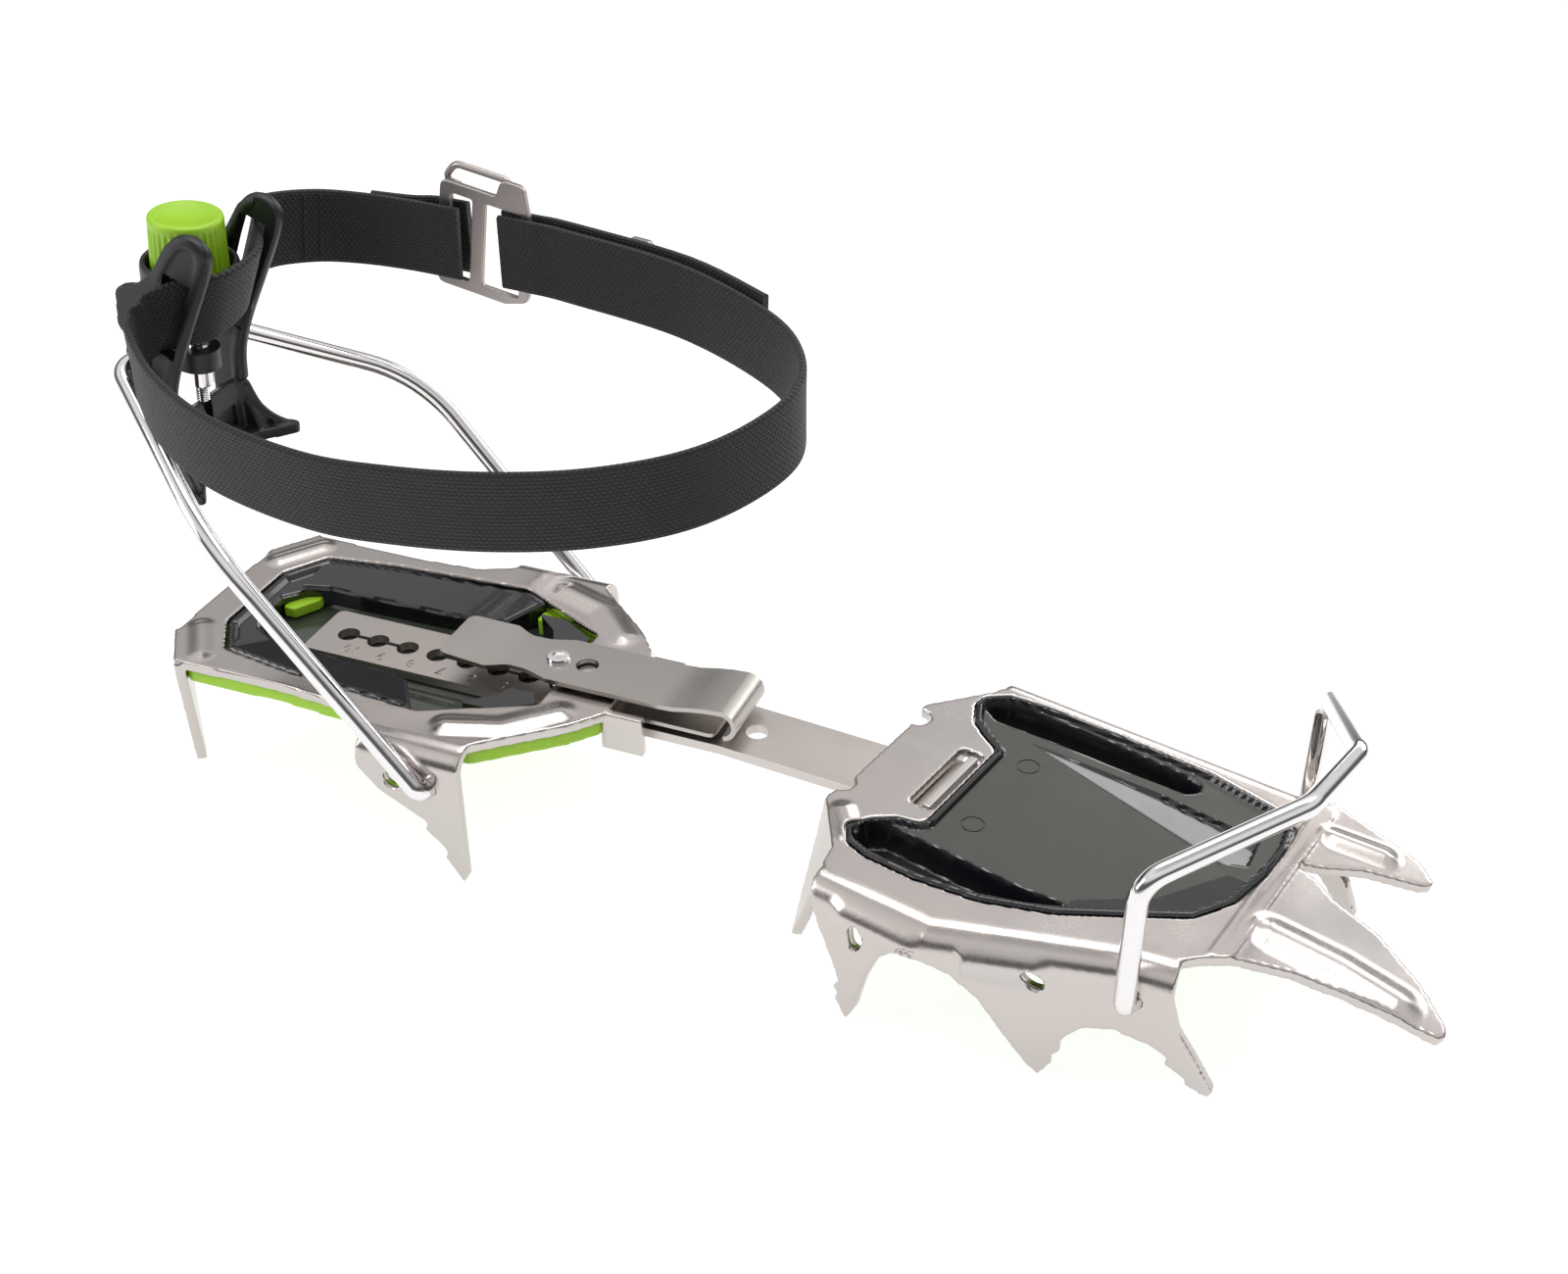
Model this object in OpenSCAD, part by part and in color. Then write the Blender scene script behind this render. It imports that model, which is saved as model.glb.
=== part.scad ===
// Left-foot crampon: a toe section and a heel section of pressed steel on a sliding centre bar,
// wire bails at both ends, a screw-adjusted heel lever and a woven ankle strap.
// +X points to the toe, +Y to the left (outer) side, +Z up. The down-points stand on z = 0.

/* [Pressed steel] */
// Thickness of the pressed sheet
sheet = 2.6; // [2.2:0.1:3]
// Height of the heel frame's top face above the ground
heel_top = 36; // [35:0.5:38]
// Height of the toe frame's top face above the ground
toe_top = 34; // [33.5:0.5:35]
// Inside radius of the bends between plates and flanges
bend_r = 3.5; // [3:0.25:4]

/* [Centre bar] */
// Width of the centre bar
bar_w = 18; // [16:0.5:18.5]
// Thickness of the centre bar
bar_t = 2.4; // [2:0.1:2.6]
// Height of the centre bar's top face
bar_top = 30.8; // [30.5:0.1:31]
// Distance between two size holes, one shoe size
size_step = 8.47; // [8:0.01:9]
// Number of size holes
size_holes = 8; // [7:1:9]
// Radius of a size hole
size_hole_r = 2.75; // [2.6:0.05:2.9]
// Angle by which the front of the bar turns inwards
bar_turn = 5.65; // [5:0.05:6]

/* [Bails] */
// Radius of the bail wire
wire_r = 2.25; // [2:0.05:2.4]
// Running clearance of the bail wire in its hole, on the radius
wire_gap = 0.08; // [0.05:0.01:0.1]
// Height of the heel bail's hinge
heel_hinge_z = 26.1; // [25.5:0.1:26.5]
// Height of the toe bail's hinge
toe_hinge_z = 25; // [24.5:0.1:25.5]

/* [Heel lever] */
// Forward lean of the lever
lever_lean = 5; // [0:1:8]
// Diameter of the adjuster knob
knob_d = 17; // [15:0.5:18]
// Radius of the adjuster screw
screw_r = 1.6; // [1.4:0.1:1.8]

/* [Ankle strap] */
// Width of the webbing
strap_w = 18.8; // [18:0.2:20]
// Thickness of the webbing
strap_t = 1.8; // [1.5:0.1:2]

/* [Hidden] */
$fn = 48;

// Length of flat plate that each folded wall brings with it
lip = 0.6;
// How far folds and panels run past a corner so that they close it
corner = 0.6;

// The work is laid out from the rearmost size hole; this moves it to the middle of its box.
bench = [-112.77, 3.3, 0];

// Toe section: its own axes start on the rear crossbar and turn inwards.
toe_at = [155, -3, 0];
toe_turn = -13;

// Size clip: a folded spring whose loop is also where the leaf lifts.
clip_w = 17.5;
clip_t = 1.2;
loop_at = [105, 36.2];
loop_r = 4;
pin_x = 7 * size_step;
pin_r = 2.3;
rivet_x = 67;
leaf_z = 37;

// Heel bail: hinge, bend and cross wire, as [x, half width, z]
heel_hinge = [46.7, 45.5, heel_hinge_z];
heel_knee = [0, 45.5, 81.5];
heel_cross = [-41.8, 15.3, 103];
heel_knee_r = 40;
heel_cross_r = 7;
spare_hole = [37.1, 25.6];

// Toe bail, in the toe section's axes: middle of its hinge, then its corners as [forward, half width, z]
toe_hinge_mid = [68.4, 3.8];
toe_hinge_skew = 4.2;
toe_leg = 39.8;
toe_knee = [0, toe_leg, 57.8];
toe_nose = [19.4, 10.8, 68.2];
toe_knee_r = 7;
toe_nose_r = 6;

// Lever, in its own axes: u forward, v left, w up along the screw, from the bail's cross wire
screw_u = 11;
cup_r = 11.2;
cup_wall = 1.5;
arm_in = 12.2;
arm_t = 3;

// ---------- helpers ----------

function mirrored(p) = concat(p, [for (i = [len(p) - 1 : -1 : 0]) [p[i][0], -p[i][1]]]);
function unit(v) = v / norm(v);
function left_of(v) = [-v[1], v[0]];
// A closed anticlockwise outline moved inwards by d
function inset(p, d) = [for (i = [0 : len(p) - 1])
    let (n = len(p), a = unit(p[i] - p[(i + n - 1) % n]), b = unit(p[(i + 1) % n] - p[i]),
         m = unit(left_of(a) + left_of(b)))
    p[i] + m * d / (m * left_of(a))];
function turned(p, a) = [p[0] * cos(a) - p[1] * sin(a), p[0] * sin(a) + p[1] * cos(a)];

module slab(outline, z0, z1) translate([0, 0, z0]) linear_extrude(z1 - z0) polygon(outline);

// A vertical panel along the line from p to q, outside to its right; the profile is [along, height].
module panel(p, q, profile, top = 0, tilt = 0)
    translate([p[0], p[1], top]) rotate([0, 0, atan2(q[1] - p[1], q[0] - p[0])])
        rotate([90 - tilt, 0, 0]) linear_extrude(sheet) polygon(profile);

// Section of a plate folded down: its lip, its bend and a wall whose inner face stands at 0
function folded_section(top) =
    let (centre = [bend_r, top - bend_r - sheet], steps = [90 : 15 : 180])
    concat([[bend_r + lip, top]],
           [for (a = steps) centre + (bend_r + sheet) * [cos(a), sin(a)]],
           [[-sheet, 0], [0, 0]],
           [for (a = steps) centre + bend_r * [cos(270 - a), sin(270 - a)]],
           [[bend_r + lip, top - sheet]]);

// A wall folded down from a plate along the line from p to q, trimmed to the profile [along, height]
module flange(p, q, top, profile)
    translate([p[0], p[1], 0]) rotate([0, 0, atan2(q[1] - p[1], q[0] - p[0])]) intersection() {
        translate([-corner, 0, 0]) rotate([90, 0, 90])
            linear_extrude(norm(q - p) + 2 * corner) polygon(folded_section(top));
        translate([0, 20, 0]) rotate([90, 0, 0]) linear_extrude(40) polygon(profile);
    }

module both_sides() {
    children();
    mirror([0, 1, 0]) children();
}

module at_toe() translate(toe_at) rotate([0, 0, toe_turn]) children();
module at_lever() translate([heel_cross[0], 0, heel_cross[2]]) rotate([0, lever_lean, 0]) children();
module across(x, z, r, y0, y1) translate([x, y0, z]) rotate([-90, 0, 0]) cylinder(r = r, h = y1 - y0);

// Round wire through the points, with an arc of radius rs[i] at each inner point;
// the arcs are a hair thicker and swallow the ends of the straights
module wire(points, rs, r) {
    n = len(points);
    ts = [for (i = [0 : n - 1]) i == 0 || i == n - 1 ? 0 :
        let (c = acos(unit(points[i - 1] - points[i]) * unit(points[i + 1] - points[i])))
        rs[i - 1] / tan(c / 2)];
    for (i = [0 : n - 2]) {
        d = unit(points[i + 1] - points[i]);
        rod(points[i] + d * (ts[i] - (i > 0 ? 0.3 : 0)), points[i + 1] - d * (ts[i + 1] - (i < n - 2 ? 0.3 : 0)), r);
    }
    for (i = [1 : n - 2]) {
        a = unit(points[i - 1] - points[i]);
        b = unit(points[i + 1] - points[i]);
        turn = 180 - acos(a * b);
        corner_x = -unit(a + b);
        corner_z = unit(cross(a, b));
        corner_y = cross(corner_z, corner_x);
        centre = points[i] - corner_x * rs[i - 1] / cos(turn / 2);
        multmatrix([[corner_x[0], corner_y[0], corner_z[0], centre[0]],
                    [corner_x[1], corner_y[1], corner_z[1], centre[1]],
                    [corner_x[2], corner_y[2], corner_z[2], centre[2]]])
            rotate([0, 0, -turn / 2]) rotate_extrude(angle = turn) translate([rs[i - 1], 0]) circle(r + 0.02);
    }
}
module rod(p, q, r) {
    d = q - p;
    translate(p) rotate([0, acos(d[2] / norm(d)), atan2(d[1], d[0])]) cylinder(r = r, h = norm(d));
}

// ---------- toe section ----------

toe_hole = [[8, -18], [8, 14], [3, 17], [-2, 21], [-5, 27], [-5, 31], [0, 35], [10, 36], [30, 35.5],
            [52, 34], [70, 30], [75, 26], [76.5, 18], [76, 8], [74, -4], [69, -13], [58, -20],
            [45, -28], [30, -33.5], [15, -35], [3, -34.5], [-3, -32.5], [-6, -28], [-3, -23], [2, -19]];
toe_opening = [for (i = [len(toe_hole) - 1 : -1 : 0]) toe_hole[i]];
near_a = [-3, -45.5];
near_b = [26, -46];
near_c = [62, -31.2];
near_d = [86, -26.4];
far_a = [-3, 40.4];
far_b = [88, 38];

module toe_outline()
    polygon([[-13.5, -14], [-15, -22], [-4, -36], [-3, -42], [25.5, -42.6], [60.9, -27.9], [73, -25.4],
             [75, -23], [80, -19.5], [80, 38], [74, 34.8], [-3, 36.8], [-4, 34], [-15, 20], [-13.5, 14]]);

// Rear down-points, folded down and outwards along the cut rear corners
module toe_rear_leg(p, q)
    panel(p, q, [[0, 1.3], [2.5, -8], [6, -24], [8.2, -32.3], [10.5, -26], [13.5, -14], [17, 1.3]],
          top = toe_top - sheet, tilt = 14);

// Down-points along the inner side, which carry the inner end of the bail
module toe_near_flange() {
    above = toe_top + 1;
    difference() {
        union() {
            flange(near_a, near_b, toe_top,
                   [[0, above], [2, 27], [4, 22], [8, 13], [9, 9.5], [7.5, 8], [11, 0], [13.2, 4.5],
                    [15.5, 14], [18.5, 21.5], [23, 26], [29, 26.5], [30, 26.5], [30, above]]);
            flange(near_b, near_c, toe_top,
                   [[-1, above], [-1, 26.4], [5, 24], [11, 18.5], [17, 9.5], [22, 2.5], [24.6, 0], [27.5, 4],
                    [26.8, 5.5], [29, 8], [28.2, 10], [32.5, 15], [40, 15.8], [40, above]]);
            flange(near_c, near_d, toe_top,
                   [[-1, above], [-1, 16], [8, 14.5], [12, 12.5], [11.5, 10.5], [16, 8],
                    [16.2, 6.3], [21, 5], [22, 6.6], [17.5, 14], [13.5, 20], [11.5, 27], [11.5, above]]);
        }
        toe_hinge_bore();
        across(47.3, 26, 2.2, -60, -30);
        across(11, 25, 2, -60, -30);
    }
    toe_rear_leg([-13.3, -20.7], [-2.3, -34.7]);
}

module toe_far_flange() {
    above = toe_top + 1;
    difference() {
        mirror([0, 1, 0])
            flange([far_a[0], -far_a[1]], [far_b[0], -far_b[1]], toe_top,
                   [[0, above], [2, 27], [5, 22], [9, 13], [8.5, 9], [12, 0], [14.5, 4], [18, 14], [24, 20],
                    [33, 20.5], [40, 15], [44.5, 6], [49, 0], [51.5, 4], [50.5, 6], [55, 13], [61, 16],
                    [72, 16.5], [81, 14], [86, 8], [90, 5], [91, 6.6], [88, 14], [83, 20], [79, 27], [79, above]]);
        toe_hinge_bore();
        across(50, 26, 2.2, 30, 60);
    }
    mirror([0, 1, 0]) toe_rear_leg([-13.3, -18.7], [-2.3, -32.7]);
}

module at_hinge() translate([toe_hinge_mid[0], toe_hinge_mid[1], toe_hinge_z]) rotate([0, 0, -toe_hinge_skew]) children();
module toe_hinge_bore() at_hinge() across(0, 0, wire_r + wire_gap, -70, 70);

// A forward point, drooping from the plate's front edge
module front_point(outline)
    translate([78, 0, toe_top]) rotate([0, 13, 0]) translate([0, 0, -sheet]) linear_extrude(sheet) polygon(outline);

module toe_frame() color("silver") at_toe() {
    difference() {
        translate([0, 0, toe_top - sheet]) linear_extrude(sheet) toe_outline();
        slab(toe_opening, 0, 50);
        slab([[1, -13], [7, -13], [7, 10.5], [1, 10.5]], 0, 50);
        translate([-13.5, 15, 0]) cylinder(r = 3, h = 50);
    }
    toe_near_flange();
    toe_far_flange();
    front_point([[-0.8, -21], [4, -18], [14, -13], [24, -10.5], [34, -9], [43, -7.5], [44, -5.5], [43, -3.2],
                 [35, 3.6], [23, 10], [12, 12], [7, 14.5], [-0.8, 16]]);
    front_point([[-0.8, 14.5], [7, 19], [14, 25], [25, 30], [27, 32], [26, 34], [22, 37], [12, 38.5], [2, 39.6], [-0.8, 39.6]]);
}

module trough(x0, x1, y0, y1, bow) {
    pts = [[x0, y0], [x0 + 3, y0 - 1], [x1, y0 + bow], [x1, y1 + bow], [x0 + 3, y1], [x0, y1 - 1]];
    slab(pts, 27.5, 50);
}

module toe_plate() color([0.17, 0.19, 0.17]) at_toe() {
    difference() {
        slab(inset(toe_opening, 0.25), 26, toe_top + 0.4);
        slab(inset(toe_opening, 2), toe_top - 0.6, 50);
        trough(-1, 50, 27, 33, -1.5);
        trough(-2, 40, -30, -23, 5);
    }
}

module toe_underplate() color("yellowgreen") at_toe()
    slab(inset(toe_opening, 3), 22.5, 25.9);

function bail_side(s) = [[0, s * (toe_leg - 9), 0], [0, s * toe_leg, 0], [0, s * toe_leg, toe_knee[2] - toe_hinge_z],
                         [toe_nose[0], s * toe_nose[1], toe_nose[2] - toe_hinge_z]];

module toe_bail() color("lightgray") at_toe() at_hinge() {
    near = bail_side(-1);
    far = bail_side(1);
    wire(concat(near, [far[3], far[2], far[1], far[0]]),
         [2.7, toe_knee_r, toe_nose_r, toe_nose_r, toe_knee_r, 2.7], wire_r);
}

// ---------- centre bar and size clip ----------

// The bar in plan: straight, turned inwards at its bend, and widened to a T under the toe frame's window
module bar_outline() {
    half = bar_w / 2;
    mitre = half * tan(bar_turn / 2);
    bend = [105, 0];
    ahead = [cos(bar_turn), -sin(bar_turn)];
    aside = [sin(bar_turn), cos(bar_turn)];
    toe = [toe_at[0], toe_at[1]];
    toe_ahead = [cos(toe_turn), sin(toe_turn)];
    function edge_end(side) =
        let (start = bend + side * half * aside)
        start + ahead * ((toe - start) * toe_ahead) / (ahead * toe_ahead);
    polygon(concat([[-8, 2 - half], [-6, -half], bend - [mitre, half], edge_end(-1)],
                   [for (p = [[0, -12.4], [6.2, -12.4], [6.2, 9.8], [0, 9.8]]) toe + turned(p, toe_turn)],
                   [edge_end(1), bend + [mitre, half], [-6, half], [-8, half - 2]]));
}

module centre_bar() color("gainsboro") {
    difference() {
        union() {
            translate([0, 0, bar_top - bar_t]) linear_extrude(bar_t) bar_outline();
            at_toe() slab([[3.8, -12], [5.9, -12], [5.9, 9.4], [3.8, 9.4]], bar_top - 1, toe_top - 0.4);
        }
        for (i = [0 : size_holes - 1])
            translate([i * size_step, 0, 0]) cylinder(r = size_hole_r, h = 50);
        for (i = [0, 1, 3, 5, 6])
            slab([[i * size_step, -0.6], [(i + 1) * size_step, -0.6], [(i + 1) * size_step, 0.6],
                  [i * size_step, 0.6]], 0, 50);
        translate([111, -0.6, 0]) cylinder(r = 2.75, h = 50);
    }
}

module clip_base() color("darkgray") difference() {
    slab([[62.2, -clip_w / 2], [103.5, -clip_w / 2], [103.5, clip_w / 2], [62.2, clip_w / 2]],
         loop_at[1] - loop_r, loop_at[1] - loop_r + clip_t);
    translate([rivet_x, 0, 0]) cylinder(r = 1.6, h = 50);
}

// Side view of the leaf, from its thumb tab forward and round the loop
function leaf_section() =
    let (steps = [90 : -12 : -78])
    concat([[31, leaf_z + 1.9], [46, leaf_z + clip_t], [91, leaf_z + clip_t], [96, leaf_z + clip_t + 1.1]],
           [for (a = steps) loop_at + loop_r * [cos(a), sin(a)]],
           [for (a = steps) loop_at + (loop_r - clip_t) * [cos(12 - a), sin(12 - a)]],
           [[96, leaf_z + 1.1], [91, leaf_z], [46, leaf_z], [31, leaf_z + 0.7]]);

module clip_leaf() color("silver") difference() {
    intersection() {
        translate([0, 20, 0]) rotate([90, 0, 0]) linear_extrude(40) polygon(leaf_section());
        slab(mirrored([[31, -7], [33, -9], [46, -9], [49, -clip_w / 2], [120, -clip_w / 2]]), 20, 60);
    }
    translate([pin_x, 0, 0]) cylinder(r = pin_r + 0.03, h = 50);
    translate([rivet_x, 0, 0]) cylinder(r = 2.75, h = 50);
}

module clip_pin() color("lightgray") translate([pin_x, 0, 0]) {
    translate([0, 0, bar_top - bar_t + 0.2]) cylinder(r = pin_r, h = leaf_z + clip_t - bar_top + bar_t);
    translate([0, 0, leaf_z + clip_t]) cylinder(r = 2.9, h = 0.9);
}

module clip_rivet() color("gray") translate([rivet_x, 0, 0]) {
    translate([0, 0, bar_top + 0.4]) cylinder(r = 2.4, h = loop_at[1] - loop_r - bar_top - 0.4);
    translate([0, 0, bar_top + 0.4]) cylinder(r = 1.5, h = heel_top - bar_top);
    translate([0, 0, heel_top]) cylinder(r = 2.4, h = 0.8);
}

// ---------- heel section ----------

heel_outer = mirrored([[-36, -13], [-35.5, -19.5], [-27, -31.8], [0, -31], [20, -32.5], [28, -36.5],
                       [54, -36.5], [72, -21], [78, -13.6]]);
heel_window = mirrored([[-27, -12], [-20, -23], [0, -26], [36, -28.5], [62, -16]]);
heel_floor = mirrored([[-19, -12], [28, -15.5], [37, -24.5], [53.5, -17]]);
flange_in = 36.5 + bend_r;
tray_z = 29.5;
floor_z = 28;

module heel_frame() color("silver") {
    difference() {
        slab(heel_outer, heel_top - sheet, heel_top);
        slab(heel_window, 0, 50);
        translate([rivet_x, 0, 0]) cylinder(r = 1.6, h = 50);
    }
    both_sides() {
        difference() {
            union() {
                flange([28, -flange_in], [54, -flange_in], heel_top,
                       [[0, heel_top + 1], [0, 27.5], [5, 22], [12, 18.5], [17.5, 15.7], [16.8, 13.4],
                        [20.5, 10.2], [22.1, 8.3], [21.4, 6.4], [25.7, 0], [27, 3], [27, heel_top + 1]]);
            }
            across(heel_hinge[0], heel_hinge[2], wire_r + wire_gap, -60, -20);
            across(spare_hole[0], spare_hole[1], wire_r + wire_gap, -60, -20);
        }
        panel([-34.5, -18.8], [-26, -31.1],
              [[-1, 31], [0.5, 26], [3.5, 16], [5.5, 6], [7.06, 0], [8.6, 4], [11, 14], [13.5, 24], [15.5, 31],
               [15.5, heel_top - 1], [14.5, heel_top], [0, heel_top], [-1, heel_top - 1]]);
        slab([[76.5, -13.2], [87, -13.2], [87, -10.6], [76.5, -10.6]], 25.5, heel_top - 0.5);
    }
}

module heel_plate() color([0.1, 0.11, 0.12]) difference() {
    union() {
        slab(inset(heel_window, 0.3), tray_z, heel_top - 0.8);
        slab(inset(heel_floor, -1.5), floor_z - 1.2, tray_z + 0.1);
    }
    slab(heel_floor, floor_z, 50);
    slab([[50, -9.6], [70, -9.6], [70, 9.6], [50, 9.6]], floor_z, 50);
    slab([[-17, -9], [-12, -9], [-12, 3], [-17, 3]], 0, 50);
}

// Stepped in below its rim, so that snow falls off it
module heel_underplate() color("yellowgreen") difference() {
    union() {
        slab(inset(heel_outer, 1.6), tray_z - 0.2, heel_top - sheet - 0.2);
        slab(inset(heel_outer, 5), 26.8, tray_z - 0.1);
        slab(inset(heel_outer, 9), 24, 27);
    }
    slab(inset(heel_window, -0.1), tray_z - 0.1, 50);
    slab(inset(heel_floor, -1.8), floor_z - 1.4, 50);
    slab([[50, -9.6], [90, -9.6], [90, 9.6], [50, 9.6]], floor_z, 50);
}

module heel_bail() color("lightgray") {
    tuck = [heel_hinge[0], heel_hinge[1] - 9, heel_hinge[2]];
    near = [for (p = [tuck, heel_hinge, heel_knee, heel_cross]) [p[0], -p[1], p[2]]];
    far = [heel_cross, heel_knee, heel_hinge, tuck];
    wire(concat(near, far),
         [2.7, heel_knee_r, heel_cross_r, heel_cross_r, heel_knee_r, 2.7], wire_r);
}

// ---------- heel lever ----------

arm_profile = [[1, 12], [1.5, 21.5], [7, 23], [12, 27.5], [16, 34.5], [19.5, 37.8], [24, 38], [27.3, 34.4],
               [26.2, 30], [21.8, 19], [16, 5], [13.6, -2], [12.5, -11], [13.4, -16], [16.6, -20.5], [18.5, -25.5],
               [9, -25.5], [5, -17], [5, -12], [6, -6], [7, 4]];
// The webbing and its slots lean forward by this much more than the screw
slot_lean = 17.8;
slot_at = [16.1, 19];

module leaning(u, w) translate([u, 0, w]) rotate([0, slot_lean, 0]) children();

module lever_body() color([0.09, 0.09, 0.1]) at_lever() difference() {
    union() {
        for (s = [-1, 1])
            translate([0, s > 0 ? arm_in + arm_t : -arm_in, 0]) rotate([90, 0, 0])
                linear_extrude(arm_t) polygon(arm_profile);
        translate([screw_u, 0, 9]) cylinder(r = cup_r, h = 16);
        translate([screw_u, 0, 9]) linear_extrude(5) square([14, 2 * arm_in + 1], center = true);
        // cross web above the claw
        translate([0, arm_in + 1, 0]) rotate([90, 0, 0]) linear_extrude(2 * arm_in + 2)
            polygon([[6.5, -15], [11.6, -11.5], [12.6, -15.5], [13.5, -25.2], [9.5, -25.2]]);
        // claw: a shelf hollowed to a boot's heel, with a point on each side
        translate([0, 0, -27]) linear_extrude(3)
            polygon(mirrored([[9.2, -14], [14, -17], [21, -20.9], [23.6, -20.7], [23.8, -19.2], [19, -12.6], [16, -6]]));
    }
    translate([screw_u, 0, 14]) cylinder(r = cup_r - cup_wall, h = 40);
    translate([screw_u, 0, -40]) cylinder(r = screw_r + 0.3, h = 80);
    // the cup is cut in front, where the strap passes, and both arms are slotted for it
    leaning(21.6, 19) translate([0, 0, -18]) linear_extrude(40)
        polygon(mirrored([[0, -5], [-1, -6.8], [-6.2, 0.01 - arm_in], [10, 0.01 - arm_in]]));
    for (s = [-1, 1])
        leaning(slot_at[0], slot_at[1]) translate([0, s * 14, s > 0 ? -6.9 : -12])
            linear_extrude(20.6) square([7, 8], center = true);
}

module wire_carriage() color([0.55, 0.55, 0.56]) at_lever() difference() {
    union() {
        translate([0, 7, 0]) rotate([90, 0, 0]) cylinder(r = 4.2, h = 14);
        translate([0, -5, -2.5]) cube([screw_u, 10, 5]);
        translate([screw_u, 0, -2.5]) cylinder(r = 5, h = 5);
    }
    across(0, 0, wire_r + wire_gap, -10, 10);
    translate([screw_u, 0, -10]) cylinder(r = 2.9, h = 20);
}

module barrel_nut() color("lightgray") at_lever() translate([screw_u, 0, 0]) difference() {
    translate([0, 0, -7.5]) cylinder(r = 2.8, h = 11);
    translate([0, 0, -10]) cylinder(r = screw_r + 0.06, h = 20);
}

module adjuster_screw() color("gray") at_lever() translate([screw_u, 0, 0])
    translate([0, 0, -12]) cylinder(r = screw_r, h = 36);

module adjuster_knob() color([0.5, 0.8, 0.1]) at_lever() translate([screw_u, 0, 0]) difference() {
    union() {
        translate([0, 0, 14.5]) cylinder(r1 = knob_d / 2 + 0.6, r2 = knob_d / 2, h = 21);
        for (i = [0 : 35]) rotate([0, 0, 10 * i])
            translate([knob_d / 2, 0, 14.5]) cylinder(r = 0.5, h = 18);
    }
    translate([0, 0, 14]) cylinder(r = screw_r + 0.02, h = 10.02);
}

module screw_clip() color("gray") at_lever() translate([screw_u, 0, 6.8]) difference() {
    cylinder(r = 3.2, h = 1.2);
    translate([0, 0, -1]) cylinder(r = screw_r + 0.02, h = 4);
}

// ---------- ankle strap ----------

// Middle of the webbing, from the buckle round the ankle and through the lever, as [x, y, z]
strap_route = [[27.5, 43.6, 120], [36, 42.9, 120], [46, 42.1, 119.6], [77, 37.2, 118], [103, 25.5, 116],
               [115.5, 13.5, 114.3], [119.8, 1, 111.8], [115.5, -13, 109.2], [106, -27, 107.5], [90, -38, 106],
               [71, -45.5, 105.2], [51, -49.6, 104.8], [32, -51, 105], [7, -47.3, 106.8], [-11, -39.8, 109.6],
               [-23.5, -30.2, 112.6], [-29.4, -22.8, 115], [-28.2, -17.6, 117.3], [-24.6, -13.7, 118.8],
               [-17.5, -6.5, 119.8], [-16.6, 5, 121.4], [-22.2, 13.7, 123.2], [-26, 19.5, 123.8], [-25.5, 27, 123.8],
               [-19, 36, 122.6], [-10, 41.2, 121.4], [2, 43.6, 120.6], [16, 44, 120]];
fold_route = [[-8, 44.9, 120.8], [2, 46.4, 120.5], [7, 48.7, 120.2], [10, 49.3, 120], [16.5, 48.9, 120]];
tail_route = [[26.5, 47.7, 120], [36, 47.2, 120], [46, 46.3, 119.8], [78, 40.6, 118.6], [101, 29.9, 117.5]];
buckle_at = [22.5, 46, 120];
buckle_turn = -4;
// Lean of the webbing's width, forward, where it runs through the lever
function strap_lean(x, y) = 0.42 * max(0, min(1, (-8 - x) / 6)) * max(0, min(1, (26 - abs(y)) / 8));

function spline(p, i, t) =
    let (n = len(p), a = p[max(i - 1, 0)], b = p[i], c = p[i + 1], d = p[min(i + 2, n - 1)])
    0.5 * (2 * b + (c - a) * t + (2 * a - 5 * b + 4 * c - d) * t * t + (3 * b - a - 3 * c + d) * t * t * t);
function smooth(p, k) = concat([for (i = [0 : len(p) - 2], j = [0 : k - 1]) spline(p, i, j / k)], [p[len(p) - 1]]);

module webbing(route, steps) {
    c = smooth(route, steps);
    n = len(c);
    rings = [for (i = [0 : n - 1])
        let (t = unit(c[min(i + 1, n - 1)] - c[max(i - 1, 0)]),
             v = unit([strap_lean(c[i][0], c[i][1]), 0, 1]), w = unit(v - t * (t * v)), o = cross(t, w))
        for (k = [[-1, -1], [1, -1], [1, 1], [-1, 1]])
            c[i] + o * k[0] * strap_t / 2 + w * k[1] * strap_w / 2];
    sides = [for (i = [0 : n - 2], k = [0 : 3])
        let (a = 4 * i + k, b = 4 * i + (k + 1) % 4)
        each [[a, b, b + 4], [a, b + 4, a + 4]]];
    ends = [[0, 3, 2], [0, 2, 1], [4 * n - 4, 4 * n - 3, 4 * n - 2], [4 * n - 4, 4 * n - 2, 4 * n - 1]];
    polyhedron(rings, [for (f = concat(sides, ends)) [f[2], f[1], f[0]]]);
}

module ankle_strap() color([0.06, 0.06, 0.07]) webbing(strap_route, 2);
module strap_fold() color([0.06, 0.06, 0.07]) webbing(fold_route, 2);
module strap_tail() color([0.06, 0.06, 0.07]) webbing(tail_route, 3);

module at_buckle() translate(buckle_at) rotate([0, 0, buckle_turn]) rotate([90, 0, 0]) rotate([0, 0, -8]) children();

module buckle_frame() color("silver") at_buckle() linear_extrude(1.6, center = true) difference() {
    polygon([[-11, -13.5], [8, -13.5], [13.5, -8.5], [13.5, 8.5], [11, 12], [9.5, 18], [3, 18], [2, 13.5],
             [-11, 13.5], [-13.5, 11.5], [-13.5, -11.5]]);
    translate([-7.3, 0]) square([6, 21.4], center = true);
    translate([4.4, 0]) square([10.4, 21.4], center = true);
}

module buckle_ring() color("lightgray") at_buckle() translate([0, 0, -2.2])
    wire([[-9.5, 12, 0], [-14.5, 12, 0], [-11, 17, 0], [3, 17, 0], [9, 12, 0], [3.5, 12, 0]],
         [1.5, 3, 3, 1.4], 0.9);

module tail_clip() color("gray") translate([64, 45.4, 119.6]) rotate([0, 0, -12])
    cube([9, 1.4, 17], center = true);

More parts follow.
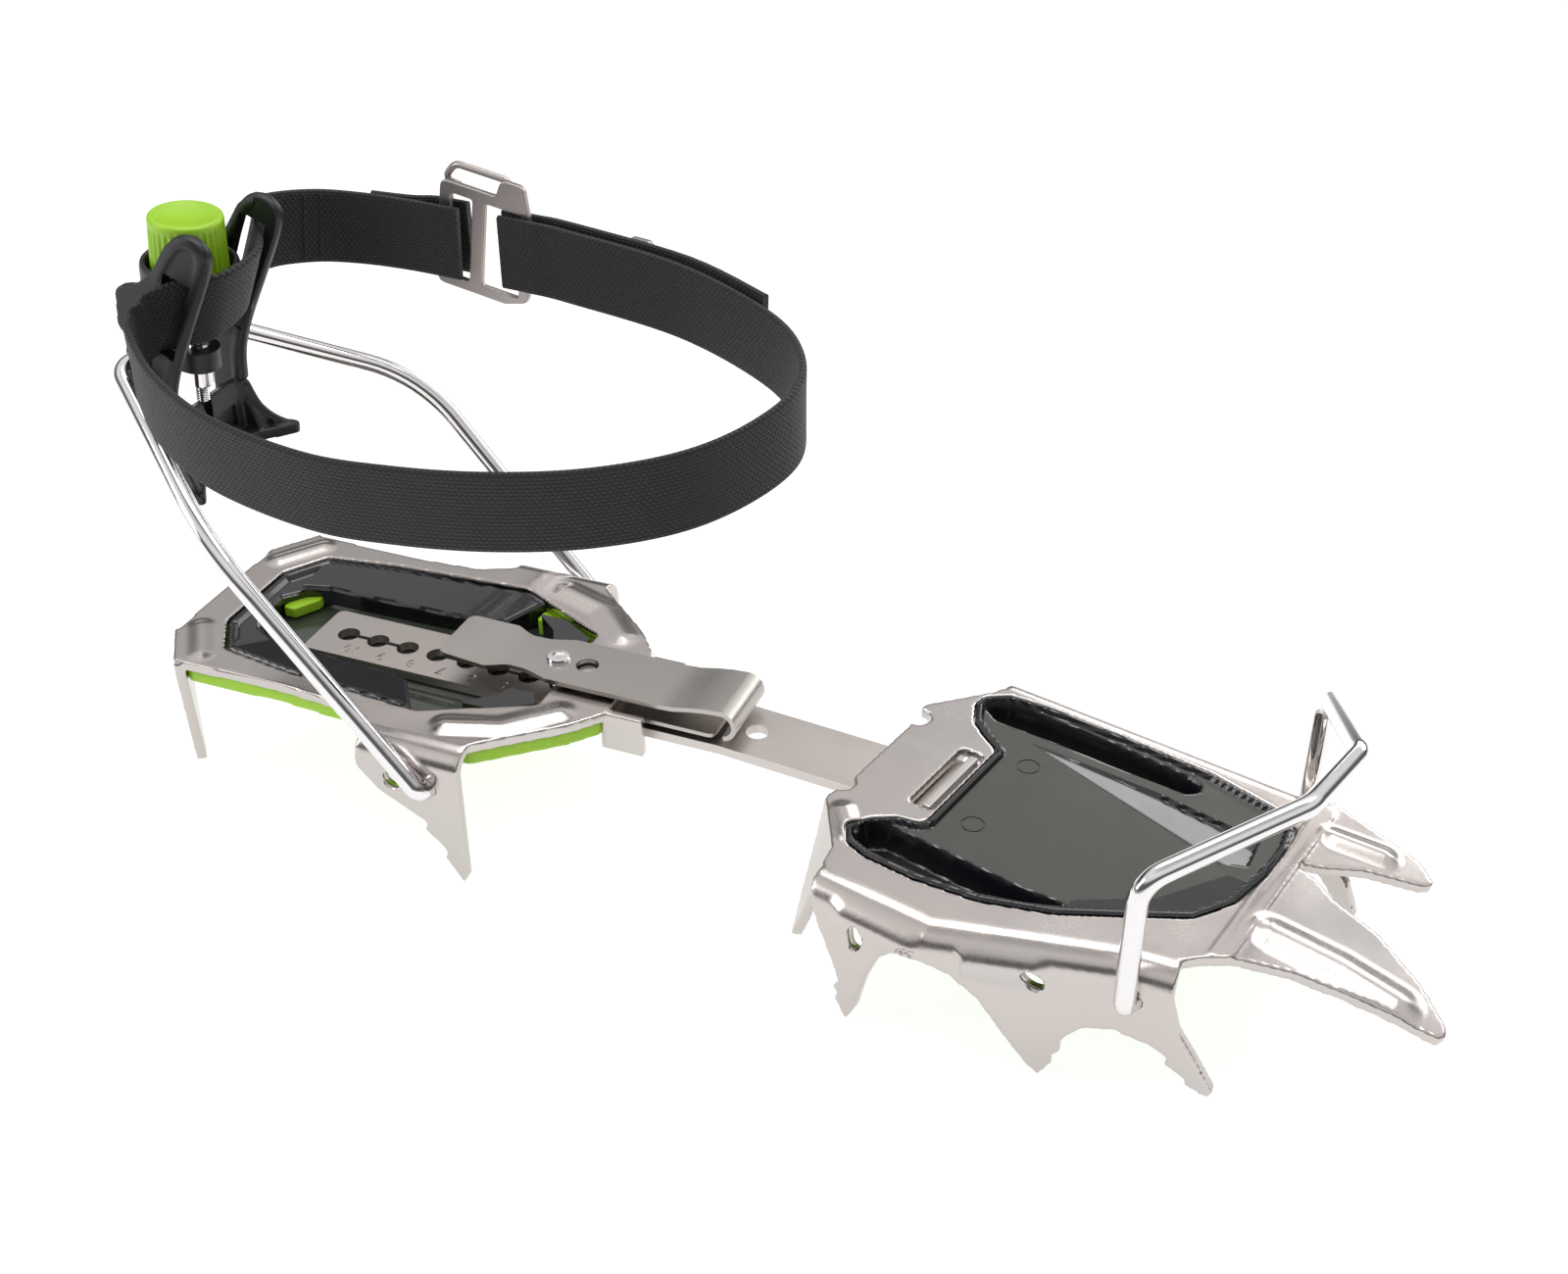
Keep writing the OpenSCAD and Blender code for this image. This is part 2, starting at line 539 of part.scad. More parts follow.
module whole() {
    toe_frame();
    toe_plate();
    toe_underplate();
    toe_bail();
    centre_bar();
    clip_base();
    clip_leaf();
    clip_pin();
    clip_rivet();
    heel_frame();
    heel_plate();
    heel_underplate();
    heel_bail();
    lever_body();
    wire_carriage();
    barrel_nut();
    adjuster_screw();
    adjuster_knob();
    screw_clip();
    ankle_strap();
    strap_fold();
    strap_tail();
    buckle_frame();
    buckle_ring();
    tail_clip();
}
translate(bench) whole();
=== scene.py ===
"""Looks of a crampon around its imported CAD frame: pressed steel, plastic, bright wire and woven strap."""
import math

import bmesh
import bpy
import numpy as np
from mathutils import Matrix, Vector


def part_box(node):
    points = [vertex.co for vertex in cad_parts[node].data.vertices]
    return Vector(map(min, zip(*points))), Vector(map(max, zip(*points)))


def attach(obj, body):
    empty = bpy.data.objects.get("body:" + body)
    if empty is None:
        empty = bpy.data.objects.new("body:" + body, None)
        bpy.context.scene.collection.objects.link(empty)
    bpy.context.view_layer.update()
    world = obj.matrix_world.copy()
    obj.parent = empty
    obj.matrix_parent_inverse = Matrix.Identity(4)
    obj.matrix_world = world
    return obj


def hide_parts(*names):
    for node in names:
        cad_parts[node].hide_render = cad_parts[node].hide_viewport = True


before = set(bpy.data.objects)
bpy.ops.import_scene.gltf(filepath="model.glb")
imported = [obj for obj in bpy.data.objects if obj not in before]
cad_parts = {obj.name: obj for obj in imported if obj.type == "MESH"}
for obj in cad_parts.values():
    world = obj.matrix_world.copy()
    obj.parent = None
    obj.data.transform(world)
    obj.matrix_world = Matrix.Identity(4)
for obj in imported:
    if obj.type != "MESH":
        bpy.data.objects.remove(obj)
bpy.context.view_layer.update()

move = Matrix.Translation


def spin(degrees, axis):
    return Matrix.Rotation(math.radians(degrees), 4, axis)


MM = 0.001
BAR_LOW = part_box("centre_bar")[0]
HEEL_LOW, HEEL_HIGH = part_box("heel_frame")
# The bench frame's origin is the rearmost size hole, 8 mm ahead of the bar's end, on the ground.
BENCH = move((BAR_LOW.x + 8 * MM, (HEEL_LOW.y + HEEL_HIGH.y) / 2, 0)) @ Matrix.Scale(MM, 4)
# The toe section's own axes start on its rear crossbar and turn inwards.
TOE_TURN = math.radians(-13)
TOE = move((155, -3, 0)) @ Matrix.Rotation(TOE_TURN, 4, "Z")
# The lever's axes start on the heel bail's cross wire: forward, left, and up along the screw.
LEVER = move((-41.8, 0, 103)) @ spin(5, "Y")
FLAT = Matrix.Identity(4)
# Stands an outline drawn as [forward, up] on its edge.
UPRIGHT = Matrix(((1, 0, 0, 0), (0, 0, -1, 0), (0, 1, 0, 0), (0, 0, 0, 1)))

SHEET = 2.6
HEEL_TOP = 36.0
TOE_TOP = 34.0
BEND = 3.5
WIRE = 2.25
SCREW_U = 11.0
# The strap runs through the lever leaning forward of the screw, and so leans from the upright.
SLOT_LEAN = math.radians(17.8)
STRAP_LEAN = 0.42
ARM_MID = 13.7


# ---- mesh helpers

def link(name, mesh):
    obj = bpy.data.objects.new(name, mesh)
    bpy.context.scene.collection.objects.link(obj)
    return obj


def drop(obj):
    mesh = obj.data
    bpy.data.objects.remove(obj)
    if mesh.users == 0:
        bpy.data.meshes.remove(mesh)


def mesh_object(name, verts, faces):
    mesh = bpy.data.meshes.new(name)
    mesh.from_pydata([tuple(v) for v in verts], [], faces)
    mesh.update()
    return link(name, mesh)


def anticlockwise(points):
    pts = [Vector(p) for p in points]
    n = len(pts)
    if sum(pts[i].x * pts[(i + 1) % n].y - pts[(i + 1) % n].x * pts[i].y for i in range(n)) < 0:
        pts.reverse()
    return pts


def rounded(points, convex=0.8, hollow=4.0, steps=5):
    """The outline with its corners turned into arcs; hollow is the radius of its inward corners."""
    pts = anticlockwise(points)
    n = len(pts)
    out = []
    for i in range(n):
        p, a, b = pts[i], pts[i - 1], pts[(i + 1) % n]
        to_a, to_b = a - p, b - p
        cross = to_b.x * to_a.y - to_b.y * to_a.x
        radius = convex if cross > 0 else hollow
        da, db = to_a.normalized(), to_b.normalized()
        half = 0.5 * math.acos(max(-1, min(1, da.dot(db))))
        if half > 1.5 or radius <= 0:
            out.append(p)
            continue
        reach = min(radius / math.tan(half), 0.45 * to_a.length, 0.45 * to_b.length)
        start, end = p + da * reach, p + db * reach
        for k in range(steps + 1):
            t = k / steps
            out.append(start * (1 - t) ** 2 + p * 2 * t * (1 - t) + end * t ** 2)
    return out


def prism(outline, z0, z1, place=FLAT, name="piece"):
    """A closed solid: the outline in the place's x-y plane, from z0 to z1."""
    pts = anticlockwise(outline)
    n = len(pts)
    verts = [place @ Vector((p.x, p.y, z)) for z in (z0, z1) for p in pts]
    faces = [tuple(range(n - 1, -1, -1)), tuple(range(n, 2 * n))]
    faces += [(i, (i + 1) % n, n + (i + 1) % n, n + i) for i in range(n)]
    obj = mesh_object(name, verts, faces)
    if place.to_3x3().determinant() < 0:
        obj.data.flip_normals()
    return obj


def between_rows(rows, around, wrap=False):
    """Faces that join each ring of points to the next; wrap joins the last to the first."""
    faces = []
    for i in range(rows if wrap else rows - 1):
        j = (i + 1) % rows
        for k in range(around):
            m = (k + 1) % around
            faces.append((i * around + k, i * around + m, j * around + m, j * around + k))
    return faces


def capped(rows, around):
    """The same, with both ends closed."""
    return between_rows(rows, around) + [tuple(range(around - 1, -1, -1)),
                                         tuple((rows - 1) * around + k for k in range(around))]


def lathe(profile, place=FLAT, around=64, name="piece", radius=None):
    """A solid of revolution about the place's z axis from [r, z] points; radius(r, angle, z) may shape it."""
    verts = []
    for r, z in profile:
        for k in range(around):
            a = 2 * math.pi * k / around
            rr = radius(r, a, z) if radius else r
            verts.append(place @ Vector((rr * math.cos(a), rr * math.sin(a), z)))
    return mesh_object(name, verts, capped(len(profile), around))


def filleted(points, radii, steps=10):
    """The route through the points with an arc of the given radius at each inner point."""
    pts = [Vector(p) for p in points]
    out = [pts[0]]
    for i in range(1, len(pts) - 1):
        a, b = (pts[i - 1] - pts[i]).normalized(), (pts[i + 1] - pts[i]).normalized()
        half = 0.5 * math.acos(max(-1, min(1, a.dot(b))))
        axis_x = -(a + b).normalized()
        centre = pts[i] - axis_x * radii[i - 1] / math.sin(half)
        axis_y = (b - b.dot(axis_x) * axis_x).normalized()
        turn = math.pi / 2 - half
        for k in range(steps + 1):
            t = -turn + 2 * turn * k / steps
            out.append(centre + radii[i - 1] * (axis_x * math.cos(t) + axis_y * math.sin(t)))
    return out + [pts[-1]]


def tube(route, radius, place=FLAT, around=24, name="piece", tip=0.35):
    """A round wire along the route, with slightly rounded ends."""
    pts = [place @ Vector(p) for p in route]
    first, last = (pts[1] - pts[0]).normalized(), (pts[-1] - pts[-2]).normalized()
    pts = [pts[0], pts[0] + first * tip] + pts[1:-1] + [pts[-1] - last * tip, pts[-1]]
    n = len(pts)
    radii = [radius - tip] + [radius] * (n - 2) + [radius - tip]
    tangents = [(pts[min(i + 1, n - 1)] - pts[max(i - 1, 0)]).normalized() for i in range(n)]
    side = tangents[0].orthogonal().normalized()
    verts = []
    for i in range(n):
        side = (side - side.dot(tangents[i]) * tangents[i]).normalized()
        up = tangents[i].cross(side)
        for k in range(around):
            a = 2 * math.pi * k / around
            verts.append(pts[i] + radii[i] * (side * math.cos(a) + up * math.sin(a)))
    return mesh_object(name, verts, capped(n, around))


def drum(centre, axis, radius, length, around=40):
    """A plain cylinder, used as a cutter or a boss."""
    axis = Vector(axis).normalized()
    place = move(centre) @ axis.to_track_quat("Z", "Y").to_matrix().to_4x4()
    ring = [(radius * math.cos(2 * math.pi * k / around), radius * math.sin(2 * math.pi * k / around))
            for k in range(around)]
    return prism(ring, -length / 2, length / 2, place)


def oval(centre, half_x, half_z, lean, length=30):
    """An oval cutter across the toe section, leaning by some degrees."""
    ring = [(half_x * math.cos(a), half_z * math.sin(a)) for a in np.linspace(0, 2 * math.pi, 32, False)]
    place = move(centre) @ Matrix.Rotation(TOE_TURN, 4, "Z") @ Matrix.Rotation(math.pi / 2, 4, "X")
    return prism(ring, -length / 2, length / 2, place @ spin(lean, "Z"))


def evaluated(obj):
    deps = bpy.context.evaluated_depsgraph_get()
    mesh = bpy.data.meshes.new_from_object(obj.evaluated_get(deps))
    obj.modifiers.clear()
    old = obj.data
    obj.data = mesh
    bpy.data.meshes.remove(old)
    return obj


def boolean(obj, other, how):
    mod = obj.modifiers.new("b", "BOOLEAN")
    mod.operation, mod.solver, mod.object = how, "EXACT", other
    evaluated(obj)
    drop(other)
    return obj


def cut(obj, *tools):
    for tool in tools:
        boolean(obj, tool, "DIFFERENCE")
    return obj


def joined(name, objs):
    """One object that holds all the pieces, overlaps and all."""
    bm = bmesh.new()
    for obj in objs:
        bm.from_mesh(obj.data)
    mesh = bpy.data.meshes.new(name)
    bm.to_mesh(mesh)
    bm.free()
    for obj in objs:
        drop(obj)
    return link(name, mesh)


def outward(mesh, weld=0):
    """Turns every face outwards, after welding points closer than weld."""
    bm = bmesh.new()
    bm.from_mesh(mesh)
    if weld:
        bmesh.ops.remove_doubles(bm, verts=bm.verts, dist=weld)
    bmesh.ops.recalc_face_normals(bm, faces=bm.faces)
    bm.to_mesh(mesh)
    bm.free()


def coords(obj):
    co = np.empty(len(obj.data.vertices) * 3)
    obj.data.vertices.foreach_get("co", co)
    return co.reshape(-1, 3)


def set_coords(obj, co):
    obj.data.vertices.foreach_set("co", np.asarray(co, np.float64).ravel())
    obj.data.update()


def skin(obj, voxel, smooth=3):
    """Overlapping pieces become one closed skin with softened edges."""
    mod = obj.modifiers.new("r", "REMESH")
    mod.mode, mod.voxel_size, mod.adaptivity = "VOXEL", voxel, 0
    evaluated(obj)
    if smooth:
        relax = obj.modifiers.new("s", "SMOOTH")
        relax.factor, relax.iterations = 0.5, smooth
        evaluated(obj)
    return obj


def press(obj, route, reach, height, direction, depth=5.0):
    """Raises a rib along the route, in the direction, on both faces of the sheet."""
    co = coords(obj)
    d = np.array(Vector(direction).normalized())
    best = np.full(len(co), 1e9)
    for a, b in zip(route[:-1], route[1:]):
        a, b = np.array(a, float), np.array(b, float)
        ab = b - a
        rel = co - a
        t = np.clip((rel @ ab) / (ab @ ab), 0, 1)
        off = rel - t[:, None] * ab
        along = off @ d
        flat = np.linalg.norm(off - along[:, None] * d, axis=1)
        flat[np.abs(along) > depth] = 1e9
        best = np.minimum(best, flat)
    w = np.clip(1 - best / reach, 0, 1)
    w = w * w * (3 - 2 * w)
    set_coords(obj, co + w[:, None] * height * d)
    return obj


def done(obj, name, body, material, replaces=(), sharp=None):
    """Into the row frame, with its material, riding on its body."""
    obj.name = obj.data.name = name
    obj.data.transform(BENCH)
    for poly in obj.data.polygons:
        poly.use_smooth = True
    if sharp:
        mark_sharp(obj, sharp)
        weigh = obj.modifiers.new("n", "WEIGHTED_NORMAL")
        weigh.keep_sharp = True
        evaluated(obj)
        obj.data.name = name
    obj.data.materials.clear()
    obj.data.materials.append(material)
    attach(obj, body)
    if replaces:
        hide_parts(*replaces)
    return obj


def mark_sharp(obj, degrees):
    bm = bmesh.new()
    bm.from_mesh(obj.data)
    for edge in bm.edges:
        if len(edge.link_faces) == 2 and edge.calc_face_angle(0) > math.radians(degrees):
            edge.smooth = False
    bm.to_mesh(obj.data)
    bm.free()


def bevelled(obj, width, segments=2, angle=35):
    mod = obj.modifiers.new("v", "BEVEL")
    mod.width, mod.segments, mod.limit_method = width, segments, "ANGLE"
    mod.angle_limit = math.radians(angle)
    return evaluated(obj)


# ---- materials

class Look:
    """A material and the few node calls that its surface needs."""

    def __init__(self, name, colour, roughness, metallic=0.0):
        self.mat = bpy.data.materials.new(name)
        self.mat.use_nodes = True
        self.nodes, self.links = self.mat.node_tree.nodes, self.mat.node_tree.links
        self.shader = self.nodes["Principled BSDF"]
        self.shader.inputs["Base Color"].default_value = (*colour, 1)
        self.shader.inputs["Roughness"].default_value = roughness
        self.shader.inputs["Metallic"].default_value = metallic
        self.place = self.nodes.new("ShaderNodeTexCoord")
        self.height = None

    def set(self, **values):
        for key, value in values.items():
            self.shader.inputs[key.replace("_", " ")].default_value = value
        return self

    def noise(self, scale, detail=3.0, stretch=None):
        node = self.nodes.new("ShaderNodeTexNoise")
        node.inputs["Scale"].default_value = scale
        node.inputs["Detail"].default_value = detail
        vector = self.place.outputs["Object"]
        if stretch:
            mapping = self.nodes.new("ShaderNodeMapping")
            mapping.inputs["Scale"].default_value = stretch
            self.links.new(vector, mapping.inputs["Vector"])
            vector = mapping.outputs["Vector"]
        self.links.new(vector, node.inputs["Vector"])
        return node.outputs["Fac"]

    def ramp(self, value, low, high):
        """value from 0.3 to 0.7 becomes low to high, numbers or colours."""
        node = self.nodes.new("ShaderNodeMapRange" if isinstance(low, (int,
                float)) else "ShaderNodeValToRGB")
        if isinstance(low, (int, float)):
            for key, v in (("From Min", 0.3), ("From Max", 0.7), ("To Min", low), ("To Max", high)):
                node.inputs[key].default_value = v
            self.links.new(value, node.inputs["Value"])
            return node.outputs["Result"]
        node.color_ramp.elements[0].position, node.color_ramp.elements[1].position = 0.3, 0.7
        node.color_ramp.elements[0].color, node.color_ramp.elements[1].color = (*low, 1), (*high, 1)
        self.links.new(value, node.inputs["Fac"])
        return node.outputs["Color"]

    def math(self, how, a, b=None):
        node = self.nodes.new("ShaderNodeMath")
        node.operation = how
        for socket, v in zip(node.inputs, (a, b)):
            if v is None:
                continue
            if isinstance(v, (int, float)):
                socket.default_value = v
            else:
                self.links.new(v, socket)
        return node.outputs["Value"]

    def colour(self, output):
        self.links.new(output, self.shader.inputs["Base Color"])
        return self

    def rough(self, output):
        self.links.new(output, self.shader.inputs["Roughness"])
        return self

    def bump(self, output, distance, strength=1.0):
        node = self.nodes.new("ShaderNodeBump")
        node.inputs["Distance"].default_value = distance
        node.inputs["Strength"].default_value = strength
        self.links.new(output, node.inputs["Height"])
        if self.height:
            self.links.new(self.height, node.inputs["Normal"])
        self.height = node.outputs["Normal"]
        self.links.new(self.height, self.shader.inputs["Normal"])
        return self


def steel_look(name, colour, low, high, grain, stretch=None):
    """Tumbled or brushed steel: clouded gloss, a fine grain and a faint warm drift."""
    look = Look(name, colour, (low + high) / 2, 1.0)
    cloud = look.noise(90, 4)
    fine = look.noise(grain, 2, stretch)
    blend = look.math("ADD", look.math("MULTIPLY", cloud, 0.6), look.math("MULTIPLY", fine, 0.4))
    look.rough(look.ramp(blend, low, high))
    warm = tuple(c * k for c, k in zip(colour, (1.02, 0.985, 0.96)))
    look.colour(look.ramp(look.noise(28, 2), colour, warm))
    look.bump(fine, 0.00003, 0.35)
    return look.mat


def plastic_look(name, colour, roughness, grain=2500, depth=0.00002, coat=0.0):
    look = Look(name, colour, roughness)
    if coat:
        look.set(Coat_Weight=coat, Coat_Roughness=0.06)
    look.rough(look.ramp(look.noise(120, 3), roughness * 0.85, roughness * 1.2))
    dark = tuple(c * 0.9 for c in colour)
    look.colour(look.ramp(look.noise(60, 2), dark, colour))
    look.bump(look.noise(grain, 2), depth, 0.5)
    return look.mat


def webbing_look():
    """Black nylon: staggered rows of small pads, from the strap's own length and width in millimetres."""
    look = Look("webbing", (0.012, 0.012, 0.014), 0.62)
    look.set(Sheen_Weight=0.08, Sheen_Roughness=0.4)
    split = look.nodes.new("ShaderNodeSeparateXYZ")
    look.links.new(look.place.outputs["UV"], split.inputs["Vector"])
    along, across = split.outputs["X"], split.outputs["Y"]
    column = look.math("MULTIPLY", across, 22.0)
    stagger = look.math("MULTIPLY", look.math("FLOOR", column), 0.5)
    row = look.math("ADD", look.math("MULTIPLY", along, 780.0), stagger)
    pad = look.math("MULTIPLY",
                    look.math("SINE", look.math("MULTIPLY", look.math("FRACT", column), math.pi)),
                    look.math("SINE", look.math("MULTIPLY", look.math("FRACT", row), math.pi)))
    look.bump(look.math("POWER", pad, 0.6), 0.00028, 1.0)
    # painted shade: the gaps between the pads are coloured darker than the pads' tops
    look.colour(look.ramp(pad, (0.003, 0.003, 0.0035), (0.012, 0.012, 0.014)))
    look.bump(look.noise(5000, 2), 0.00004, 0.6)
    return look.mat


STEEL = steel_look("pressed_steel", (0.56, 0.53, 0.515), 0.16, 0.30, 1800)
BAR_STEEL = steel_look("brushed_bar", (0.58, 0.55, 0.53), 0.28, 0.40, 900, (0.12, 1, 1))
SPRING_STEEL = steel_look("spring_steel", (0.47, 0.45, 0.43), 0.26, 0.38, 900, (0.1, 1, 1))
BUCKLE_STEEL = steel_look("buckle_steel", (0.40, 0.37, 0.36), 0.30, 0.42, 1500)
CHROME = steel_look("bright_wire", (0.80, 0.80, 0.82), 0.05, 0.11, 600)
SMOKY = plastic_look("smoky_plastic", (0.045, 0.052, 0.040), 0.22, coat=0.4)
GLOSS_BLACK = plastic_look("gloss_black", (0.006, 0.0065, 0.009), 0.20, coat=0.5)
LIME = plastic_look("lime_plastic", (0.34, 0.62, 0.02), 0.38)
MATTE_BLACK = plastic_look("matte_black", (0.007, 0.007, 0.009), 0.42, grain=3500, depth=0.00003)
WEBBING = webbing_look()
THREAD = plastic_look("thread", (0.03, 0.03, 0.034), 0.6, grain=6000, depth=0.00005)

# ---- pressed steel


def folded_section(top, steps=10):
    """Section of a plate folded down, as [inward, up]: lip, bend, and a wall whose inner face is at 0."""
    mid = Vector((BEND, top - BEND - SHEET))
    arc = [math.radians(90 + 90 * k / steps) for k in range(steps + 1)]
    outer = [mid + (BEND + SHEET) * Vector((math.cos(a), math.sin(a))) for a in arc]
    inner = [mid + BEND * Vector((math.cos(a), math.sin(a))) for a in reversed(arc)]
    return [Vector((BEND + 0.8, top))] + outer + [Vector((-SHEET, 0)), Vector((0, 0))] + inner \
        + [Vector((BEND + 0.8, top - SHEET))]


def flange(p, q, top, profile, place=FLAT, over=0.6):
    """A wall folded down along the line p to q, outside to its right, trimmed to the side profile."""
    p, q = Vector(p), Vector(q)
    along = move((p.x, p.y, 0)) @ Matrix.Rotation(math.atan2(q.y - p.y, q.x - p.x), 4, "Z")
    section = Matrix(((0, 0, 1, 0), (1, 0, 0, 0), (0, 1, 0, 0), (0, 0, 0, 1)))
    wall = prism(folded_section(top), -over, (q - p).length + over, place @ along @ section)
    trim = prism(rounded(profile, 0.35, 4.5), -20, 20, place @ along @ UPRIGHT)
    return boolean(wall, trim, "INTERSECT")


def panel(p, q, profile, top=0.0, tilt=0.0, place=FLAT):
    p, q = Vector(p), Vector(q)
    along = move((p.x, p.y, top)) @ Matrix.Rotation(math.atan2(q.y - p.y, q.x - p.x), 4, "Z")
    side = spin(90 - tilt, "X")
    return prism(rounded(profile, 0.35, 5), 0, SHEET, place @ along @ side)


MIRROR = Matrix.Scale(-1, 4, (0, 1, 0))
TOE_HOLE = [(8, -18), (2, -19), (-3, -23), (-6, -28), (-3, -32.5), (3, -34.5), (15, -35), (30, -33.5),
            (45, -28), (58, -20), (69, -13), (74, -4), (76, 8), (76.5, 18), (75, 26), (70, 30), (52, 34),
            (30, 35.5), (10, 36), (0, 35), (-5, 31), (-5, 27), (-2, 21), (3, 17), (8, 14)]
NEAR_A, NEAR_B, NEAR_C, NEAR_D = (-3, -45.5), (26, -46), (62, -31.2), (86, -26.4)
FAR_A, FAR_B = (-3, -40.4), (88, -38)


def in_toe(points):
    return [TOE @ Vector(p) for p in points]


def toe_hinge():
    """The toe bail's hinge: middle and direction, in the bench frame."""
    return TOE @ move((68.4, 3.8, 25)) @ spin(-4.2, "Z")


def toe_frame():
    above = TOE_TOP + 1
    plate = prism(rounded([(-13.5, -14), (-15, -22), (-4, -36), (-3, -42), (25.5, -42.6), (60.9, -27.9),
                           (73, -25.4), (75, -23), (80, -19.5), (80, 38), (74, 34.8), (-3, 36.8), (-4,
                           34),
                           (-15, 20), (-13.5, 14)], 2.5, 3), TOE_TOP - SHEET, TOE_TOP, TOE)
    cut(plate, prism(rounded(TOE_HOLE, 2.5, 3), 0, 50, TOE),
        prism(rounded([(1, -13), (7, -13), (7, 10.5), (1, 10.5)], 1.2, 1.2), 0, 50, TOE),
        drum(TOE @ Vector((-13.5, 15, 30)), (0, 0, 1), 3, 40),
        drum(TOE @ Vector((-15, -15.5, 30)), (0, 0, 1), 3.2, 40))
    walls = [
        flange(NEAR_A, NEAR_B, TOE_TOP,
               [(0, above), (2, 27), (4, 22), (8, 13), (9, 9.5), (7.5, 8), (9, 6.5), (8, 5), (11, 0),
               (13.2, 4.5),
                (15.5, 14), (18.5, 21.5), (23, 26), (29, 26.5), (30, 26.5), (30, above)], TOE),
        flange(NEAR_B, NEAR_C, TOE_TOP,
               [(-1, above), (-1, 26.4), (5, 24), (11, 18.5), (17, 9.5), (22, 2.5), (24.6, 0), (27.5, 4),
                (26.8, 5.5), (29, 8), (28.2, 10), (32.5, 15), (40, 15.8), (40, above)], TOE),
        flange(NEAR_C, NEAR_D, TOE_TOP,
               [(-1, above), (-1, 16), (8, 14.5), (12, 12.5), (11.5, 10.5), (16, 8),
                (16.2, 6.3), (21, 5), (22, 6.6), (17.5, 14), (13.5, 20), (11.5, 27), (11.5, above)], TOE),
        flange(FAR_A, FAR_B, TOE_TOP,
               [(0, above), (2, 27), (5, 22), (9, 13), (8.5, 9), (12, 0), (14.5, 4), (18, 14), (24, 20),
                (33, 20.5), (40, 15), (44.5, 6), (49, 0), (51.5, 4), (50.5, 6), (55, 13), (61, 16),
                (72, 16.5), (81, 14), (86, 8), (90, 5), (91, 6.6), (88, 14), (83, 20), (79, 27), (79,
                above)],
               TOE @ MIRROR)]
    leg = [(0, 1.3), (2.5, -8), (6, -24), (8.2, -32.3), (10.5, -26), (13.5, -14), (17, 1.3)]
    legs = [panel((-13.3, -20.7), (-2.3, -34.7), leg, TOE_TOP - SHEET, 14, TOE),
            panel((-13.3, -18.7), (-2.3, -32.7), leg, TOE_TOP - SHEET, 14, TOE @ MIRROR)]
    droop = TOE @ move((78, 0, TOE_TOP)) @ spin(13, "Y")
    points = [
        prism(rounded([(-2, -22), (4, -18), (14, -13), (24, -10.5), (34, -9), (43, -7.5), (44, -5.5),
        (43, -3.2),
                       (35, 3.6), (23, 10), (12, 12), (7, 14.5), (-2, 16)], 1, 5), -SHEET, 0, droop),
        prism(rounded([(-2, 14), (7, 19), (14, 25), (25, 30), (27, 32), (26, 34), (22, 37), (12, 38.5),
                       (0, 39.8), (-2, 39.8)], 1, 5), -SHEET, 0, droop)]
    body = skin(joined("toe_steel", [plate] + walls + legs + points), 0.5, 4)
    hinge = toe_hinge()
    lateral = hinge.to_3x3() @ Vector((0, 1, 0))
    cut(body,
        drum(hinge.translation, lateral, WIRE + 0.1, 140),
        oval(TOE @ Vector((47.3, -40, 26)), 2.0, 3.0, 30),
        oval(TOE @ Vector((50, 40, 26)), 2.0, 3.0, 30),
        oval(TOE @ Vector((10, -45, 24.5)), 1.9, 4.0, -8),
        prism(rounded(TOE_HOLE, 2.5, 3), 30.5, 50, TOE))
    up = (0, 0, 1)
    press(body, in_toe(((84, -7, 32), (98, -5, 29), (110, -5, 26))), 6.5, 1.5, up)
    press(body, in_toe(((83, 29, 32), (93, 32, 30))), 4.5, 1.2, up)
    press(body, in_toe(((-9, -24, 34), (-3, -30, 34))), 4, 0.8, up)
    out = TOE.to_3x3() @ Vector((0, -1, 0))
    press(body, in_toe(((7, -45.5, 28.5), (22, -45.5, 28))), 5, 1.0, out, 3)
    press(body, in_toe(((34, -42.5, 27.5), (46, -37.5, 27.5))), 5, 1.0, out, 3)
    return done(body, "toe_frame_pressed", "toe_unit", STEEL, ["toe_frame"])


HEEL_OUTER = [(-36, -13), (-35.5, -19.5), (-27, -31.8), (0, -31), (20, -32.5), (28, -36.5), (54, -36.5),
              (72, -21), (78, -13.6)]
HEEL_WINDOW = [(-27, -12), (-20, -23), (0, -26), (36, -28.5), (62, -16)]


def mirrored(points):
    return list(points) + [(x, -y) for x, y in reversed(points)]


